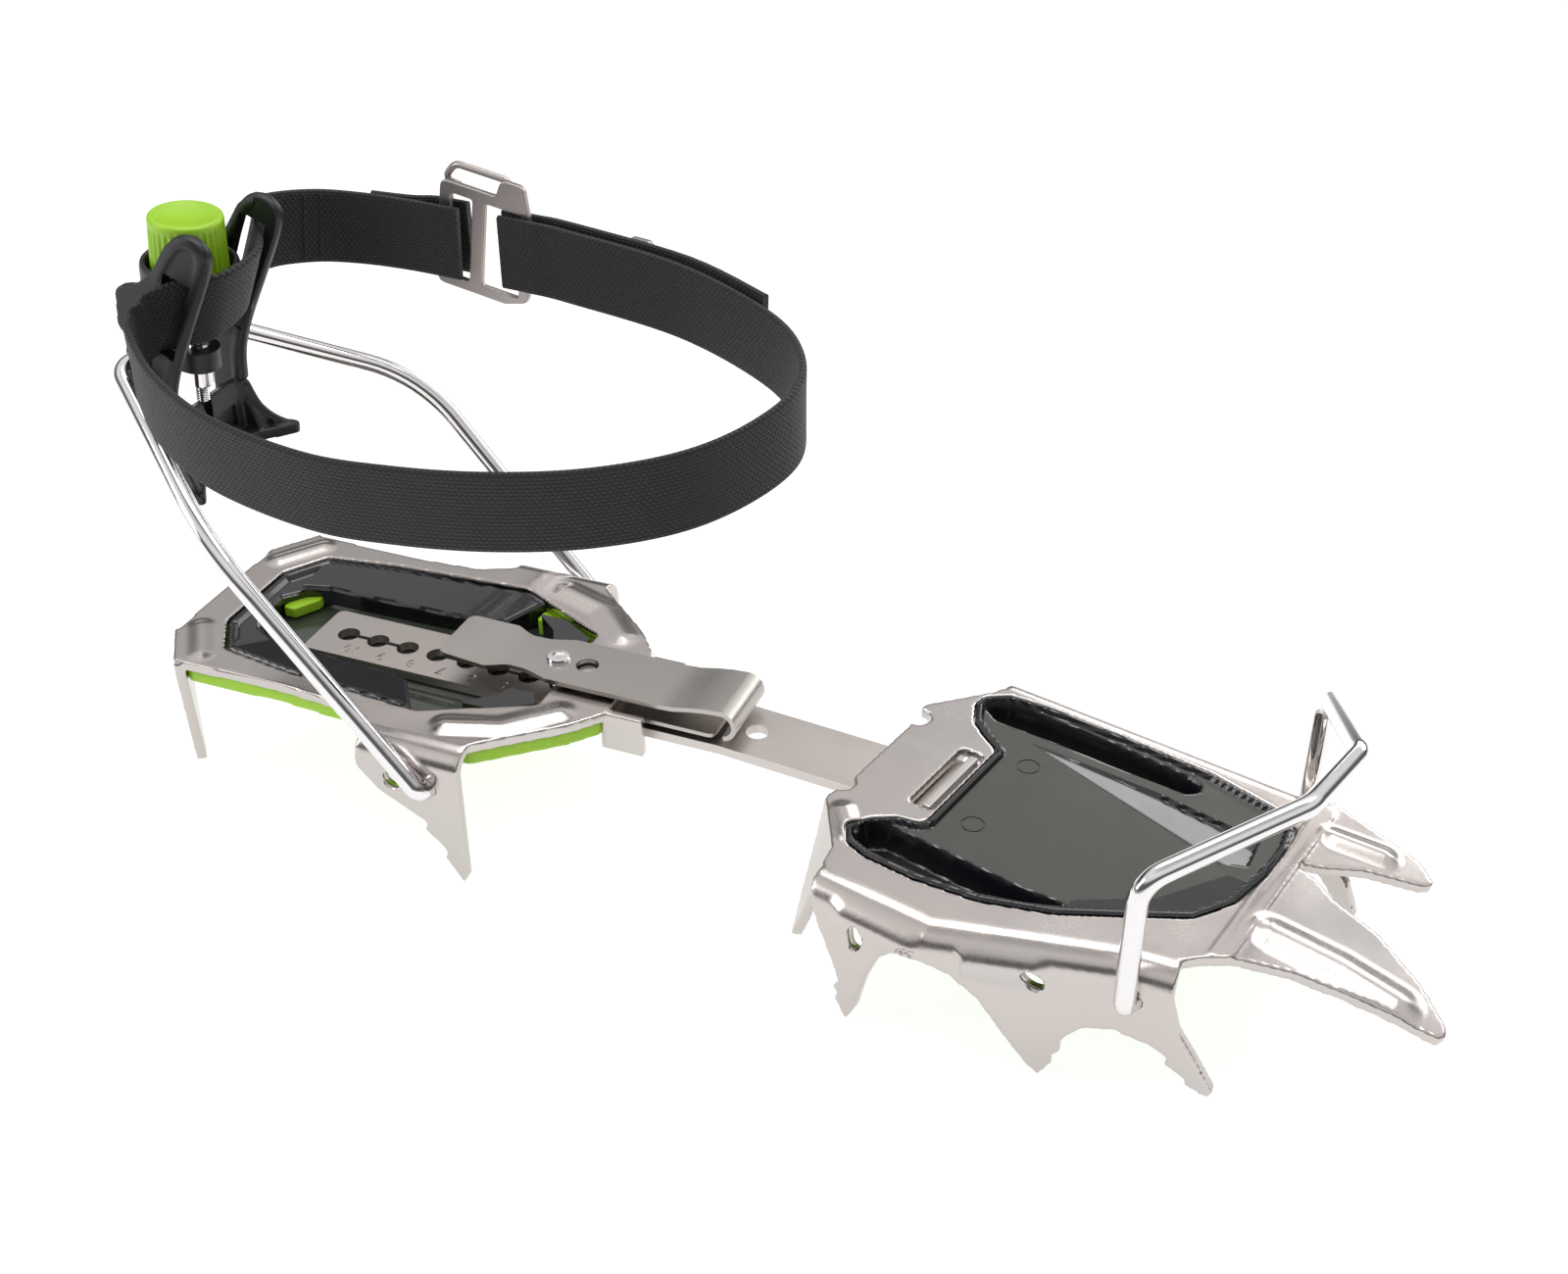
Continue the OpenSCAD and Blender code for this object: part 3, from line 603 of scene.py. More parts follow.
def heel_frame():
    plate = prism(rounded(mirrored(HEEL_OUTER), 3, 6), HEEL_TOP - SHEET, HEEL_TOP)
    cut(plate, prism(rounded(mirrored(HEEL_WINDOW), 3, 3), 0, 50))
    pieces = [plate]
    for place in (FLAT, MIRROR):
        pieces.append(flange((28, -36.5 - BEND), (54, -36.5 - BEND), HEEL_TOP,
                             [(0, 37), (0, 27.5), (5, 22), (12, 18.5), (17.5, 15.7), (16.8, 13.4), (20.5,
                             10.2),
                              (22.1, 8.3), (21.4, 6.4), (25.7, 0), (27, 3), (27, 37)], place))
        pieces.append(panel((-34.5, -18.8), (-26, -31.1),
                            [(-1, 31), (0.5, 26), (3.5, 16), (5.5, 6), (7.06, 0), (8.6, 4), (11, 14),
                            (13.5, 24),
                             (15.5, 31), (15.5, HEEL_TOP - 1), (14.5, HEEL_TOP), (0, HEEL_TOP),
                             (-1, HEEL_TOP - 1)], place=place))
        pieces.append(prism([(76.5, -13.2), (87, -13.2), (87, -10.6), (76.5, -10.6)], 25.5,
                HEEL_TOP - 0.5,
                            place))
    body = skin(joined("heel_steel", pieces), 0.5, 4)
    cut(body, drum((46.7, 0, 26.1), (0, 1, 0), WIRE + 0.1, 120), drum((37.1, 0, 25.6), (0, 1, 0),
            WIRE + 0.1, 120),
        drum((67, 0, 34), (0, 0, 1), 1.6, 10))
    for s in (-1, 1):
        press(body, [(46, 31 * s, 36), (58, 27 * s, 36), (68, 17 * s, 36)], 5, 1.0, (0, 0, 1))
        press(body, [(-24, 27 * s, 36), (-31, 17 * s, 36)], 4, 0.8, (0, 0, 1))
    return done(body, "heel_frame_pressed", "heel_unit", STEEL, ["heel_frame"])


toe_frame()
heel_frame()

# ---- plastic plates


GRID = 0.4  # spacing of a height field's points, in millimetres


def ease(t):
    t = np.clip(t, 0, 1)
    return t * t * (3 - 2 * t)


def depth_in(x, y, outline):
    """How far each point lies inside the closed outline; below zero outside it."""
    pts = [Vector(p) for p in outline]
    best = np.full(x.shape, 1e9)
    inside = np.zeros(x.shape, bool)
    for a, b in zip(pts, pts[1:] + pts[:1]):
        dx, dy = b.x - a.x, b.y - a.y
        t = np.clip(((x - a.x) * dx + (y - a.y) * dy) / (dx * dx + dy * dy), 0, 1)
        best = np.minimum(best, np.hypot(x - a.x - t * dx, y - a.y - t * dy))
        crossing = (a.y > y) != (b.y > y)
        inside ^= crossing & (x < a.x + (y - a.y) * dx / (dy or 1e-9))
    return np.where(inside, best, -best)


def relief(outline, low, height, place, name):
    """A solid under the height field, cut to the outline."""
    pts = [Vector(p) for p in outline]
    xs = np.arange(min(p.x for p in pts) - 1, max(p.x for p in pts) + 1, GRID)
    ys = np.arange(min(p.y for p in pts) - 1, max(p.y for p in pts) + 1, GRID)
    gx, gy = np.meshgrid(xs, ys, indexing="ij")
    gz = height(gx, gy)
    m, n = gx.shape
    verts = [place @ Vector(p) for p in zip(gx.ravel(), gy.ravel(), gz.ravel())]
    faces = [(i * n + j, (i + 1) * n + j, (i + 1) * n + j + 1, i * n + j + 1)
             for i in range(m - 1) for j in range(n - 1)]
    rim = [i * n for i in range(m)] + [(m - 1) * n + j for j in range(1, n)]
    rim += [i * n + n - 1 for i in range(m - 2, -1, -1)] + [j for j in range(n - 2, 0, -1)]
    first = len(verts)
    verts += [place @ Vector((gx.flat[k], gy.flat[k], low - 1)) for k in rim]
    count = len(rim)
    faces += [(rim[(k + 1) % count], rim[k], first + k, first + (k + 1) % count) for k in range(count)]
    faces.append(tuple(range(first + count - 1, first - 1, -1)))
    block = mesh_object(name, verts, faces)
    return boolean(block, prism(outline, low, low + 60, place), "INTERSECT")


def shrunk(outline, by):
    """The closed outline moved inwards."""
    pts = anticlockwise(outline)
    n = len(pts)
    out = []
    for i in range(n):
        a, b = (pts[i] - pts[i - 1]).normalized(), (pts[(i + 1) % n] - pts[i]).normalized()
        na, nb = Vector((-a.y, a.x)), Vector((-b.y, b.x))
        mid = (na + nb).normalized()
        out.append(pts[i] + mid * by / max(0.3, mid.dot(na)))
    return out


def ring_groove(centre, radius, top, place):
    outer = drum(place @ Vector((*centre, top)), (0, 0, 1), radius + 0.16, 0.5)
    return cut(outer, drum(place @ Vector((*centre, top)), (0, 0, 1), radius - 0.16, 2))


def toe_plate():
    outline = rounded(shrunk(TOE_HOLE, 0.25), 2.3, 3)
    near = rounded([(-3.4, -24.8), (2, -21.6), (12, -22.2), (24, -23), (36, -23.6), (49, -22.6), (37,
            -27.9),
                    (27, -31), (15, -32.7), (4, -32.3), (-2.4, -30.6)], 1.5, 6)
    far = rounded([(-2.8, 27.6), (1.5, 24.8), (50, 24.2), (52.5, 26.5), (52, 29.5), (48, 31), (28, 32.9),
                   (8, 33.6), (1, 33), (-2.8, 30.6)], 1.6, 6)
    wedge = [(13, 21.6), (66, 6.5), (71.5, 9), (70, 19), (44, 21.4)]
    front = [(46, -30), (46, -21.4), (60, -11), (69, 4), (90, 4), (90, -30)]

    def height(x, y):
        edge = depth_in(x, y, outline)
        z = np.full(x.shape, 33.3)
        # the wedge tips towards the outer trough, the front facet towards the opening's edge
        inside = depth_in(x, y, wedge)
        crease = ((x - 13) * 0.275 + (y - 21.6)) / 1.037
        z -= np.where(inside > 0, 0.12 * np.clip(crease, 0, 9) * ease(inside / 0.6), 0)
        z -= 0.09 * np.clip(depth_in(x, y, front), 0, 12)
        z -= 5.5 * ease(depth_in(x, y, near) / 2.2)
        z -= 5.5 * ease(depth_in(x, y, far) / 2.2)
        rim = 34.5 - 0.5 * (1 - ease(edge / 0.7))
        lip = 1 - ease((edge - 1.3) / 0.6)
        return z * (1 - lip) + rim * lip
    body = relief(outline, 26, height, TOE, "toe_plate")
    for centre in ((16.5, 13.5), (16.5, -11.5)):
        cut(body, ring_groove(centre, 2.5, 33.3, TOE))
    done(body, "toe_plate_moulded", "toe_unit", SMOKY, ["toe_plate"], sharp=32)
    # the rim is moulded in the rails' dark gloss plastic; both troughs, the wedge and the front facet get that
    # plastic too as painted shade
    body.data.materials.append(GLOSS_BLACK)
    back = (BENCH @ TOE).inverted()
    middle = np.array([back @ poly.center for poly in body.data.polygons])
    x, y = middle[:, 0], middle[:, 1]
    rim_and_painted_shade = depth_in(x, y, outline) < 2
    # painted shade: the recessed troughs and the tilted wedge and front facet take the dark gloss plastic
    for area in (near, far, wedge, front):
        rim_and_painted_shade |= depth_in(x, y, area) > -0.2
    body.data.polygons.foreach_set("material_index", rim_and_painted_shade.astype(np.int32))


def heel_plate():
    window = rounded(shrunk(mirrored(HEEL_WINDOW), 0.35), 3, 3)
    rails = []
    for s in (-1, 1):
        end = 30 if s < 0 else 40
        rail = [(-26.6, 0.2 * s), (-26.6, 12 * s), (-19.8, 22.6 * s), (0, 25.6 * s), (end + 5, 28 * s),
                (end - 4, 15.2 * s), (20, 13.6 * s), (-13, 12.6 * s), (-19, 10 * s), (-22.4, 5 * s),
                (-22.4, 0.2 * s)]

        def height(x, y, s=s, rail=rail):
            edge = depth_in(x, y, window)
            z = 35.4 - 0.17 * np.clip(edge - 2, 0, 20)
            z -= np.where(x < -20, 1.2 * ease((edge - 1.5) / 1.0), 0)
            z -= 0.7 * (1 - ease(depth_in(x, y, rail) / 0.8))
            return z + 0.35 * (1 - ease((edge - 1.2) / 0.5)) * ease(edge / 0.5)
        piece = relief(rounded(rail, 0.9, 2), 29, height, FLAT, "rail")
        rails.append(boolean(piece, prism(window, 20, 60), "INTERSECT"))
        rails.append(bevelled(prism(rounded([(43, 20.6 * s), (51, 20.4 * s), (60.5, 14.6 * s), (58,
                10.4 * s),
                                             (52, 10.6 * s), (50, 15 * s)], 0.8, 2), 28.4, 34.9), 0.7, 3,
                                             40))
    done(joined("rails", rails), "heel_plate_rails", "heel_unit", GLOSS_BLACK,
         ["heel_plate"], sharp=32)
    inner = rounded(shrunk(mirrored(HEEL_WINDOW), 0.6), 3, 3)

    def floor_height(x, y):
        side = ease((np.abs(y) - 11.5) / 2.0)
        rib = 0.5 * ease(1 - np.abs(np.abs(y) - 14 - 0.05 * x) / 0.9)
        return 28.0 + 0.9 * side + rib * side
    floor = relief(inner, 26.9, floor_height, FLAT, "floor")
    done(floor, "heel_plate_floor", "heel_unit", SMOKY, ["heel_plate"], sharp=32)


def underplates():
    lower = [prism(rounded(shrunk(mirrored(HEEL_OUTER), 1.2), 4, 6), 29.3, 33.2),
             prism(rounded(shrunk(mirrored(HEEL_OUTER), 4.6), 4, 6), 26.6, 29.6),
             prism(rounded(shrunk(mirrored(HEEL_OUTER), 8.6), 4, 6), 24.2, 27)]
    body = skin(joined("lime", lower), 0.6, 4)
    cut(body, prism(rounded(mirrored(HEEL_WINDOW), 3, 3), 26.8, 60),
        prism([(50, -9.6), (95, -9.6), (95, 9.6), (50, 9.6)], 26.8, 60))
    # two lime edges that show inside the opening, at the rear corner and at the outer front corner
    edges = [prism(rounded([(-22, 4), (-22, 9.6), (-18.6, 11.8), (-15, 12.2), (-15, 10), (-18.6, 4)],
            0.8, 1),
                   28.6, 31.4),
             prism(rounded([(42.5, 20.4), (42.5, 25), (60.5, 15.9), (58.5, 14.9), (50, 19.2)], 0.8, 1),
             28.6, 33)]
    body = joined("heel_lime", [body] + [bevelled(e, 0.4, 2, 40) for e in edges])
    done(body, "heel_underplate_lime", "heel_unit", LIME, ["heel_underplate"], sharp=40)
    under = bevelled(prism(rounded(shrunk(TOE_HOLE, 3), 3, 3), 22.5, 25.9, TOE), 0.8, 3, 40)
    done(under, "toe_underplate_lime", "toe_unit", LIME, ["toe_underplate"], sharp=40)


toe_plate()
heel_plate()
underplates()

# ---- centre bar and size clip

STEP = 8.47


def digits():
    """Size numbers stamped beside the holes."""
    stamps = []
    for i in range(6):
        curve = bpy.data.curves.new("digit", "FONT")
        curve.body = str(10 - i)
        curve.size, curve.extrude = 4.6, 0.25
        curve.align_x = curve.align_y = "CENTER"
        text = link("digit", curve)
        mesh = bpy.data.meshes.new_from_object(text.evaluated_get(bpy.context.evaluated_depsgraph_get()))
        bpy.data.objects.remove(text)
        bpy.data.curves.remove(curve)
        mesh.transform(move(((i + 0.5) * STEP, -5.6, 30.75)) @ Matrix.Rotation(math.pi, 4, "Z"))
        outward(mesh, 0.001)
        stamps.append(link("digit", mesh))
    return stamps


def centre_bar():
    turn = math.radians(5.65)
    half = 9.0
    mitre = half * math.tan(turn / 2)
    ahead = Vector((math.cos(turn), -math.sin(turn)))
    aside = Vector((math.sin(turn), math.cos(turn)))
    bend, toe = Vector((105, 0)), Vector((155, -3))
    toe_ahead = Vector((math.cos(TOE_TURN), math.sin(TOE_TURN)))

    def edge_end(side):
        start = bend + aside * (half * side)
        return start + ahead * ((toe - start).dot(toe_ahead) / ahead.dot(toe_ahead))
    head = [(TOE @ Vector((x, y, 0))).to_2d() for x, y in ((0, -12.4), (6.2, -12.4), (6.2, 9.8), (0,
            9.8))]
    outline = [Vector((-8, -half)), bend - Vector((mitre, half)), edge_end(-1)] + head
    outline += [edge_end(1), bend + Vector((mitre, half)), Vector((-8, half))]
    bar = prism(rounded(outline, 2.2, 1.5), 28.4, 30.8, name="bar")
    tools = [drum((i * STEP, 0, 30), (0, 0, 1), 2.75, 10) for i in range(8)]
    for i in (0, 1, 3, 5, 6):
        tools.append(prism([(i * STEP, -0.6), ((i + 1) * STEP, -0.6), ((i + 1) * STEP, 0.6), (i * STEP,
                0.6)], 25, 35))
    tools.append(drum((111, -0.6, 30), (0, 0, 1), 2.75, 10))
    cut(bar, *tools)
    bevelled(bar, 0.22, 2, 40)
    cut(bar, *digits())
    hook = bevelled(prism([(3.8, -12), (5.9, -12), (5.9, 9.4), (3.8, 9.4)], 30, 33.6, TOE), 0.3, 2, 40)
    bar = joined("bar", [bar, hook])
    done(bar, "centre_bar_stamped", "toe_unit", BAR_STEEL, ["centre_bar"], sharp=28)


def clip():
    """The folded leaf: a thumb tab, a flat with two holes, and a rolled loop."""
    top, thick, loop, r = 37.0, 1.2, Vector((105, 36.2)), 4.0
    arc = [math.radians(90 - 168 * k / 28) for k in range(29)]
    over = [(31, top + 1.9), (38, top + 1.5), (46, top + thick), (89, top + thick), (93,
            top + thick + 0.25),
            (97, top + thick + 1.1), (101, top + thick + 1.75)]
    outer = [loop + r * Vector((math.cos(a), math.sin(a))) for a in arc]
    inner = [loop + (r - thick) * Vector((math.cos(a), math.sin(a))) for a in reversed(arc)]
    under = [(x, z - thick) for x, z in reversed(over)]
    leaf = prism(over + outer + inner + under, -20, 20, UPRIGHT)
    plan = rounded([(31, -8.6), (44, -9.2), (49, -6.6), (54, -6.8), (60, -8.75), (120, -8.75),
                    (120, 8.75), (60, 8.75), (54, 6.8), (49, 6.6), (44, 9.2), (31, 8.6)], 2.6, 5)
    boolean(leaf, prism(plan, 20, 60), "INTERSECT")
    cut(leaf, drum((67, 0, 37), (0, 0, 1), 2.75, 10), drum((7 * STEP, 0, 37), (0, 0, 1), 2.33, 10))
    bevelled(leaf, 0.22, 2, 40)
    done(leaf, "clip_leaf_spring", "clip", SPRING_STEEL, ["clip_leaf"], sharp=30)
    base = prism(rounded([(62.2, -8.75), (103.5, -8.75), (103.5, 8.75), (62.2, 8.75)], 2, 2), 32.2, 33.4)
    cut(base, drum((67, 0, 33), (0, 0, 1), 1.6, 10))
    bevelled(base, 0.22, 2, 40)
    done(base, "clip_base_spring", "heel_unit", SPRING_STEEL, ["clip_base"], sharp=30)
    place = move((7 * STEP, 0, 0))
    pin = lathe([(0.1, 28.6), (1.9, 28.6), (2.3, 29), (2.3, 38.2), (2.9, 38.2), (2.9, 38.7), (2.55,
            39.05),
                 (1.5, 39.1), (1.3, 38.8), (0.1, 38.75)], place, 40, "pin")
    done(pin, "clip_pin_turned", "clip", CHROME, ["clip_pin"], sharp=40)
    place = move((67, 0, 0))
    rivet = lathe([(0.1, 31.2), (2.4, 31.2), (2.4, 32.2), (1.5, 32.2), (1.5, 36), (2.4, 36), (2.3, 36.5),
                   (1.6, 36.8), (0.1, 36.8)], place, 32, "rivet")
    done(rivet, "clip_rivet_headed", "heel_unit", BAR_STEEL, ["clip_rivet"], sharp=40)


centre_bar()
clip()

# ---- heel lever


def leaning(u, w):
    """The strap's slots and the cut in the cup lean forward of the screw."""
    return LEVER @ move((u, 0, w)) @ Matrix.Rotation(SLOT_LEAN, 4, "Y")


def lever_body():
    arm = [(1, 12), (1.5, 21.5), (7, 23), (12, 27.5), (16, 34.5), (19.5, 37.6), (24, 37.9), (27.2, 34.4),
           (26.2, 30), (21.8, 19), (16, 5), (13.6, -2), (12.5, -11), (13.4, -16), (16.6, -20.5), (18.5,
           -25.5),
           (9, -25.5), (5, -17), (5, -12), (6, -6), (7, 4)]
    pieces = []
    for s in (-1, 1):
        inner, outer = sorted((-12.2 * s, -15.2 * s))
        pieces.append(prism(rounded(arm, 2.6, 6), inner, outer, LEVER @ UPRIGHT))
        # a rounded rail runs up the front edge of each arm, over its top and down to the cup
        rail = [(12.0, ARM_MID * s, -12), (12.2, ARM_MID * s, -4), (14.6, ARM_MID * s, 5), (20.2,
                ARM_MID * s, 19),
                (24.4, ARM_MID * s, 29.5), (25.2, ARM_MID * s, 34), (23, ARM_MID * s, 36), (19.8,
                ARM_MID * s, 35.6),
                (16.8, ARM_MID * s, 32), (13, 13.5 * s, 26), (8.5, 12.6 * s, 22.6)]
        pieces.append(tube(smooth(rail, 4), 1.95, LEVER, 16))
        # the ear: three ribs from the arm's foot out to the claw's point
        tip = (22.6, 19.8 * s, -25.4)
        knee = [(12.6, 14.2 * s, -13), (15.4, 15.2 * s, -19.4), (18.8, 17.2 * s, -23.2), tip]
        pieces.append(tube(smooth(knee, 4), 1.15, LEVER, 12))
        pieces.append(tube([(11.5, 14.5 * s, -15), (10.4, 14.6 * s, -25.4)], 1.2, LEVER, 12))
    for s in (-1, 1):
        fan = [(12.4, -13), (15.6, -19), (19, -23), (22.6, -25.4), (10.5, -25.4)]
        shear = Matrix(((1, 0, 0, 0), (0.5 * s, 0, -1, 8 * s), (0, 1, 0, 0), (0, 0, 0, 1)))
        pieces.append(prism(fan, -0.5, 0.5, LEVER @ shear))
    shelf = mirrored([(9.2, -14), (14, -17), (21, -20.9), (23.6, -20.7), (23.8, -19.2), (19, -12.6), (16,
            -6)])
    pieces.append(prism(rounded(shelf, 0.9, 8), -27, -24.2, LEVER))
    ring = [(11.2, 9), (11.2, 23.6), (10.9, 24.6), (10.4, 24.9), (9.9, 24.6), (9.7, 23.6), (9.7, 14),
            (0.1, 14)]
    pieces.append(lathe([(0.1, 9)] + ring, LEVER @ move((SCREW_U, 0, 0)), 72))
    pieces.append(prism([(4, -12.7), (18, -12.7), (18, 12.7), (4, 12.7)], 9, 14, LEVER))
    pieces.append(prism([(6.5, -15), (11.6, -11.5), (12.6, -15.5), (13.5, -25.2), (9.5, -25.2)], -13.2,
            13.2,
                        LEVER @ UPRIGHT))
    body = skin(joined("lever", pieces), 0.42, 3)
    front = mirrored([(0, -5), (-1, -6.8), (-6.2, -12.15), (12, -12.15)])
    tools = [prism(front, -18, 22, leaning(21.6, 19)),
             drum(LEVER @ Vector((SCREW_U, 0, 0)), LEVER.to_3x3() @ Vector((0, 0, 1)), 1.9, 80),
             drum(LEVER @ Vector((SCREW_U, 0, 34)), LEVER.to_3x3() @ Vector((0, 0, 1)), 9.7, 40)]
    for s, low in ((-1, -12), (1, -6.9)):
        tools.append(prism(rounded([(-3.5, 10 * s), (3.5, 10 * s), (3.5, 18 * s), (-3.5, 18 * s)], 0.6,
                0.6),
                           low, low + 20.6, leaning(16.1, 19)))
        low_v, high_v = sorted((-14.7 * s, -19 * s))
        groove = [(8, -4), (10.5, -4), (12.2, 6), (11, 8), (9.5, 8), (8.5, 3)]
        tools.append(prism(rounded(groove, 0.8, 2), low_v, high_v, LEVER @ UPRIGHT))
        pocket = [(-9.5, -22.5), (-1.5, -22.5), (-1.5, -17), (-9.5, -17)]
        place = LEVER @ move((12.2, 0, 0)) @ Matrix(((0, 0, 1, 0), (s, 0, 0, 0), (0, 1, 0, 0),
                                                                   (0, 0, 0, 1)))
        tools.append(prism(pocket, 0, 6, place))
    cut(body, *tools)
    done(body, "lever_moulded", "lever", MATTE_BLACK, ["lever_body"], sharp=50)


def knob():
    profile = [(0.1, 14.6), (8.7, 14.6), (9.05, 15)] + [(9.05 - 0.028 * k, 15 + k) for k in range(1, 19)]
    profile += [(8.5, 33.6), (8.5, 34.6), (8.35, 35.1), (8.0, 35.4), (7.5, 35.5), (7.1, 35.5), (6.9,
            35.35),
                (0.1, 35.35)]

    def ribs(r, angle, z):
        depth = 0.42 * ease(np.float64((z - 14.8) / 0.8)) * ease(np.float64((33.9 - z) / 1.4))
        return r - depth * (0.5 - 0.5 * math.cos(32 * angle)) if r > 8.4 else r
    body = lathe(profile, LEVER @ move((SCREW_U, 0, 0)), 320, "knob", ribs)
    done(body, "knob_ribbed", "knob", LIME, ["adjuster_knob"], sharp=40)


def spline(p, i, t):
    n = len(p)
    a, b, c, d = p[max(i - 1, 0)], p[i], p[i + 1], p[min(i + 2, n - 1)]
    return 0.5 * (2 * b + (c - a) * t + (2 * a - 5 * b + 4 * c - d) * t * t + (3 * b - a - 3 * c + d) * t ** 3)


def smooth(points, steps):
    """The Catmull-Rom curve through the points."""
    p = [Vector(v) for v in points]
    return [spline(p, i, j / steps) for i in range(len(p) - 1) for j in range(steps)] + [p[-1]]


def screw():
    axis = LEVER @ move((SCREW_U, 0, 0))
    turns = [(0.1, -12), (1.15, -12)]
    z = -11.6
    while z < 23.6:
        turns += [(1.58, z), (1.28, z + 0.3)]
        z += 0.6
    turns += [(1.58, 24), (0.1, 24)]
    done(lathe(turns, axis, 32, "screw"), "screw_threaded", "knob", CHROME,
            ["adjuster_screw"],
         sharp=35)
    sleeve = [(1.72, -7.5), (2.5, -7.5), (2.8, -7.1), (2.8, 3.1), (2.5, 3.5), (1.72, 3.5)]
    verts = []
    around = 40
    for r, z in sleeve:
        for k in range(around):
            a = 2 * math.pi * k / around
            verts.append(axis @ Vector((r * math.cos(a), r * math.sin(a), z)))
    nut = mesh_object("nut", verts, between_rows(len(sleeve), around, wrap=True))
    done(nut, "nut_sleeve", "carriage", CHROME, ["barrel_nut"], sharp=35)


lever_body()
knob()
screw()

# ---- ankle strap

STRAP = [(27.5, 43.6, 120), (36, 42.9, 120), (46, 42.1, 119.6), (77, 37.2, 118), (103, 25.5, 116),
         (115.5, 13.5, 114.3), (119.8, 1, 111.8), (115.5, -13, 109.2), (106, -27, 107.5), (90, -38, 106),
         (71, -45.5, 105.2), (51, -49.6, 104.8), (32, -51, 105), (7, -47.3, 106.8), (-11, -39.8, 109.6),
         (-23.5, -30.2, 112.6), (-29.4, -22.8, 115), (-28.2, -17.6, 117.3), (-24.6, -13.7, 118.8),
         (-17.5, -6.5, 119.8), (-16.6, 5, 121.4), (-22.2, 13.7, 123.2), (-26, 19.5, 123.8), (-25.5, 27,
         123.8),
         (-19, 36, 122.6), (-10, 41.2, 121.4), (2, 43.6, 120.6), (16, 44, 120)]
FOLD = [(-8, 44.9, 120.8), (2, 46.4, 120.5), (7, 48.7, 120.2), (10, 49.3, 120), (16.5, 48.9, 120)]
TAIL = [(26.5, 47.7, 120), (36, 47.2, 120), (46, 46.3, 119.8), (78, 40.6, 118.6), (101, 29.9, 117.5)]
STRAP_W, STRAP_T = 18.8, 1.7


def strap_frame(route, i):
    """Direction, width and thickness; the width leans forward where the strap runs through the lever."""
    t = (route[min(i + 1, len(route) - 1)] - route[max(i - 1, 0)]).normalized()
    inside = max(0, min(1, (-8 - route[i].x) / 6)) * max(0, min(1, (26 - abs(route[i].y)) / 8))
    lean = Vector((STRAP_LEAN * inside, 0, 1))
    up = (lean - t * t.dot(lean)).normalized()
    return t, up, t.cross(up)


def webbing(points, steps, name, node):
    """A woven band along the route: rounded edges, and UVs in its own length."""
    route = smooth(points, steps)
    half_w, half_t = STRAP_W / 2, STRAP_T / 2
    ring = [(-half_w + 0.25, -0.35 * half_t), (-half_w + 0.6, -0.9 * half_t), (-half_w + 1.2, -half_t)]
    ring += [(-half_w + 1.2 + k * (STRAP_W - 2.4) / 10, -half_t) for k in range(1, 10)]
    ring += [(half_w - 1.2, -half_t), (half_w - 0.6, -0.9 * half_t), (half_w - 0.25, -0.35 * half_t)]
    ring += [(-w, -t) for w, t in ring]
    count, n = len(ring), len(route)
    lengths = [0.0]
    for a, b in zip(route[:-1], route[1:]):
        lengths.append(lengths[-1] + (b - a).length)
    verts, faces, uvs = [], [], []
    for i in range(n):
        t, up, out = strap_frame(route, i)
        for w, o in ring:
            verts.append(route[i] + up * w + out * o)
    for i in range(n - 1):
        for k in range(count):
            m = (k + 1) % count
            faces.append((i * count + k, i * count + m, (i + 1) * count + m, (i + 1) * count + k))
            for row, col in ((i, k), (i, m), (i + 1, m), (i + 1, k)):
                uvs.append((lengths[row] * MM, (ring[col][0] + half_w) / STRAP_W))
    for row, order in ((0, range(count - 1, -1, -1)), (n - 1, range(count))):
        faces.append(tuple(row * count + k for k in order))
        uvs += [(lengths[row] * MM, (ring[k][0] + half_w) / STRAP_W) for k in order]
    obj = mesh_object(name, verts, faces)
    layer = obj.data.uv_layers.new(name="UVMap")
    for loop, uv in zip(layer.data, uvs):
        loop.uv = uv
    outward(obj.data)
    done(obj, name, "lever", WEBBING, [node], sharp=60)


def stitches():
    """Rows of thread that hold the strap's fold, on both faces."""
    pieces = []
    route = smooth(STRAP, 8)
    start = len(route) - 1
    for shift in (23, 26):
        i = start - shift
        _, up, out = strap_frame(route, i)
        for k in range(9):
            centre = route[i] + up * (-7.6 + 1.9 * k)
            for face in (-1, 1):
                mid = centre + out * (face * (STRAP_T / 2 + 0.02))
                pieces.append(tube([mid - up * 0.75, mid + out * face * 0.12, mid + up * 0.75], 0.22,
                        FLAT, 8,
                                   tip=0.1))
    done(joined("thread", pieces), "strap_stitches", "lever", THREAD)


def buckle_place():
    return move((22.5, 46, 120)) @ spin(-4, "Z") \
        @ Matrix.Rotation(math.pi / 2, 4, "X") @ spin(-8, "Z")


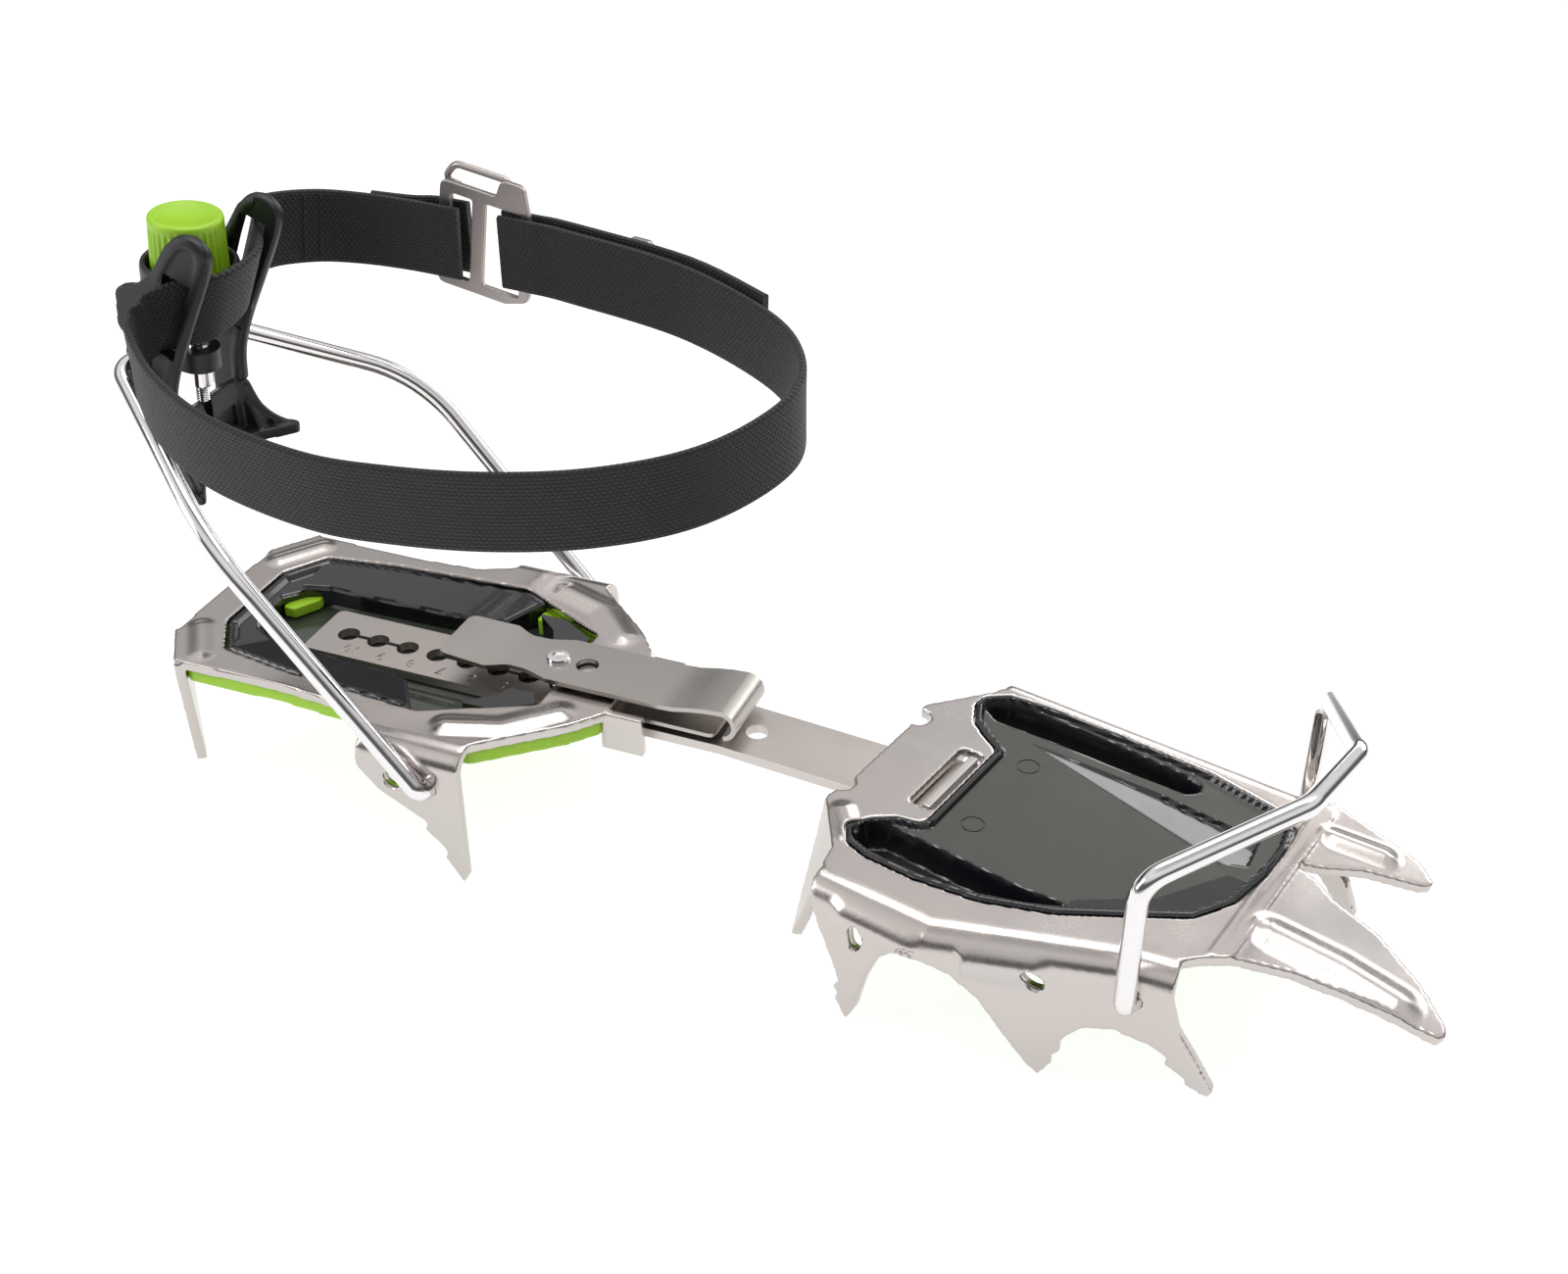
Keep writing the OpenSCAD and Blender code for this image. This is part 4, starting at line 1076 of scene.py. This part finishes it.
def buckle():
    place = buckle_place()
    frame_outline = [(-13.5, -13.5), (6, -13.5), (12, -11.4), (13.5, -5), (13.5, 6), (11, 12), (9.4, 18),
            (3.2, 18),
                     (2, 13.5), (-13.5, 13.5)]
    body = prism(rounded(frame_outline, 2.2, 1.6), -0.8, 0.8, place)
    for x, half in ((-7.3, 3), (4.4, 5.2)):
        window = rounded([(x - half, -10.7), (x + half, -10.7), (x + half, 10.7), (x - half, 10.7)], 0.9,
                0.9)
        cut(body, prism(window, -3, 3, place))
    bevelled(body, 0.3, 3, 40)
    done(body, "buckle_plate", "lever", BUCKLE_STEEL, ["buckle_frame"], sharp=35)
    route = filleted([(-9.5, 12, 0), (-14.5, 12, 0), (-11, 17, 0), (3, 17, 0), (9, 12, 0), (3.5, 12, 0)],
                     [1.5, 3, 3, 1.4], 8)
    ring = tube(route, 0.9, place @ move((0, 0, -2.2)), 16, tip=0.15)
    done(ring, "buckle_ring_wire", "ring", BUCKLE_STEEL, ["buckle_ring"])
    tail = move((64, 45.4, 119.6)) @ spin(-12, "Z") \
        @ Matrix.Rotation(math.pi / 2, 4, "X")
    plate = prism(rounded([(-4.5, -8.5), (4.5, -8.5), (4.5, 6), (2.6, 8.5), (-2.6, 8.5), (-4.5, 6)], 1,
            1),
                  -0.7, 0.7, tail)
    done(bevelled(plate, 0.25, 2, 40), "tail_clip_plate", "lever", BUCKLE_STEEL,
            ["tail_clip"],
         sharp=35)


webbing(STRAP, 8, "ankle_strap_woven", "ankle_strap")
webbing(FOLD, 6, "strap_fold_woven", "strap_fold")
webbing(TAIL, 6, "strap_tail_woven", "strap_tail")
stitches()
buckle()

# ---- wire bails


def wire_loop(name, node, body, place, side, knees):
    """A bail: pin, leg, knee, nose, and the same back on the other side."""
    near = [(p[0], -p[1], p[2]) for p in side]
    far = list(reversed(side))
    radii = [2.7] + knees + list(reversed(knees)) + [2.7]
    route = filleted(near + far, radii)
    obj = tube(route, WIRE, place, 32, name)
    return done(obj, name, body, CHROME, [node])


wire_loop("heel_bail_wire", "heel_bail", "heel_wire", FLAT,
          [(46.7, 36.5, 26.1), (46.7, 45.5, 26.1), (0, 45.5, 81.5), (-41.8, 15.3, 103)], [40, 7])
wire_loop("toe_bail_wire", "toe_bail", "toe_wire", toe_hinge(),
          [(0, 30.8, 0), (0, 39.8, 0), (0, 39.8, 32.8), (19.4, 10.8, 43.2)], [7, 6])

for kept, material in (("wire_carriage", MATTE_BLACK), ("screw_clip", BAR_STEEL)):
    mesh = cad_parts[kept].data
    mesh.materials.clear()
    mesh.materials.append(material)

# ---- studio


def studio():
    bpy.context.scene.view_settings.view_transform = "Standard"
    mesh = bpy.data.meshes.new("floor")
    size = 6.0
    mesh.from_pydata([(-size, -size, -0.0005), (size, -size, -0.0005), (size, size, -0.0005),
                      (-size, size, -0.0005)], [], [(0, 1, 2, 3)])
    floor = link("floor", mesh)
    look = Look("floor_white", (0.3, 0.3, 0.3), 0.7)
    look.set(Emission_Color=(1, 1, 1, 1), Emission_Strength=0.86, Specular_IOR_Level=0.0)
    mesh.materials.append(look.mat)

    world = bpy.data.worlds.new("studio")
    bpy.context.scene.world = world
    world.use_nodes = True
    nodes, links = world.node_tree.nodes, world.node_tree.links
    background = nodes["Background"]
    coord = nodes.new("ShaderNodeTexCoord")
    split = nodes.new("ShaderNodeSeparateXYZ")
    ramp = nodes.new("ShaderNodeValToRGB")
    links.new(coord.outputs["Generated"], split.inputs["Vector"])
    links.new(split.outputs["Z"], ramp.inputs["Fac"])
    stops = ((0.0, 0.55), (0.16, 0.10), (0.38, 0.16), (0.55, 0.85), (0.8, 1.0), (1.0, 0.55))
    ramp.color_ramp.elements[1].position = 1.0
    for place, level in stops[1:-1]:
        ramp.color_ramp.elements.new(place)
    for element, (place, level) in zip(ramp.color_ramp.elements, stops):
        element.position, element.color = place, (level, level * 0.99, level * 0.985, 1)
    links.new(ramp.outputs["Color"], background.inputs["Color"])
    background.inputs["Strength"].default_value = 0.9

    def lamp(name, where, towards, power, size_x, size_y):
        data = bpy.data.lights.new(name, "AREA")
        data.shape, data.size, data.size_y, data.energy = "RECTANGLE", size_x, size_y, power
        obj = link(name, data)
        obj.location = where
        obj.rotation_euler = (Vector(towards) - Vector(where)).to_track_quat("-Z", "Y").to_euler()

    lamp("top", (0.0, 0.25, 0.9), (0, 0, 0), 4, 0.9, 0.35)
    lamp("left", (-0.8, -0.5, 0.45), (0, 0, 0.05), 2.5, 0.4, 0.5)
    lamp("back", (0.3, 0.9, 0.45), (0, 0, 0.05), 3, 0.9, 0.3)


def camera():
    data = bpy.data.cameras.new("camera")
    data.lens, data.sensor_width, data.clip_start = 45, 36, 0.01
    obj = link("camera", data)
    obj.location = BENCH @ Vector((252.6, -341.5, 301.6))
    obj.rotation_euler = (math.radians(90 - 33.5), 0, math.radians(21.6))
    bpy.context.scene.camera = obj


studio()
camera()
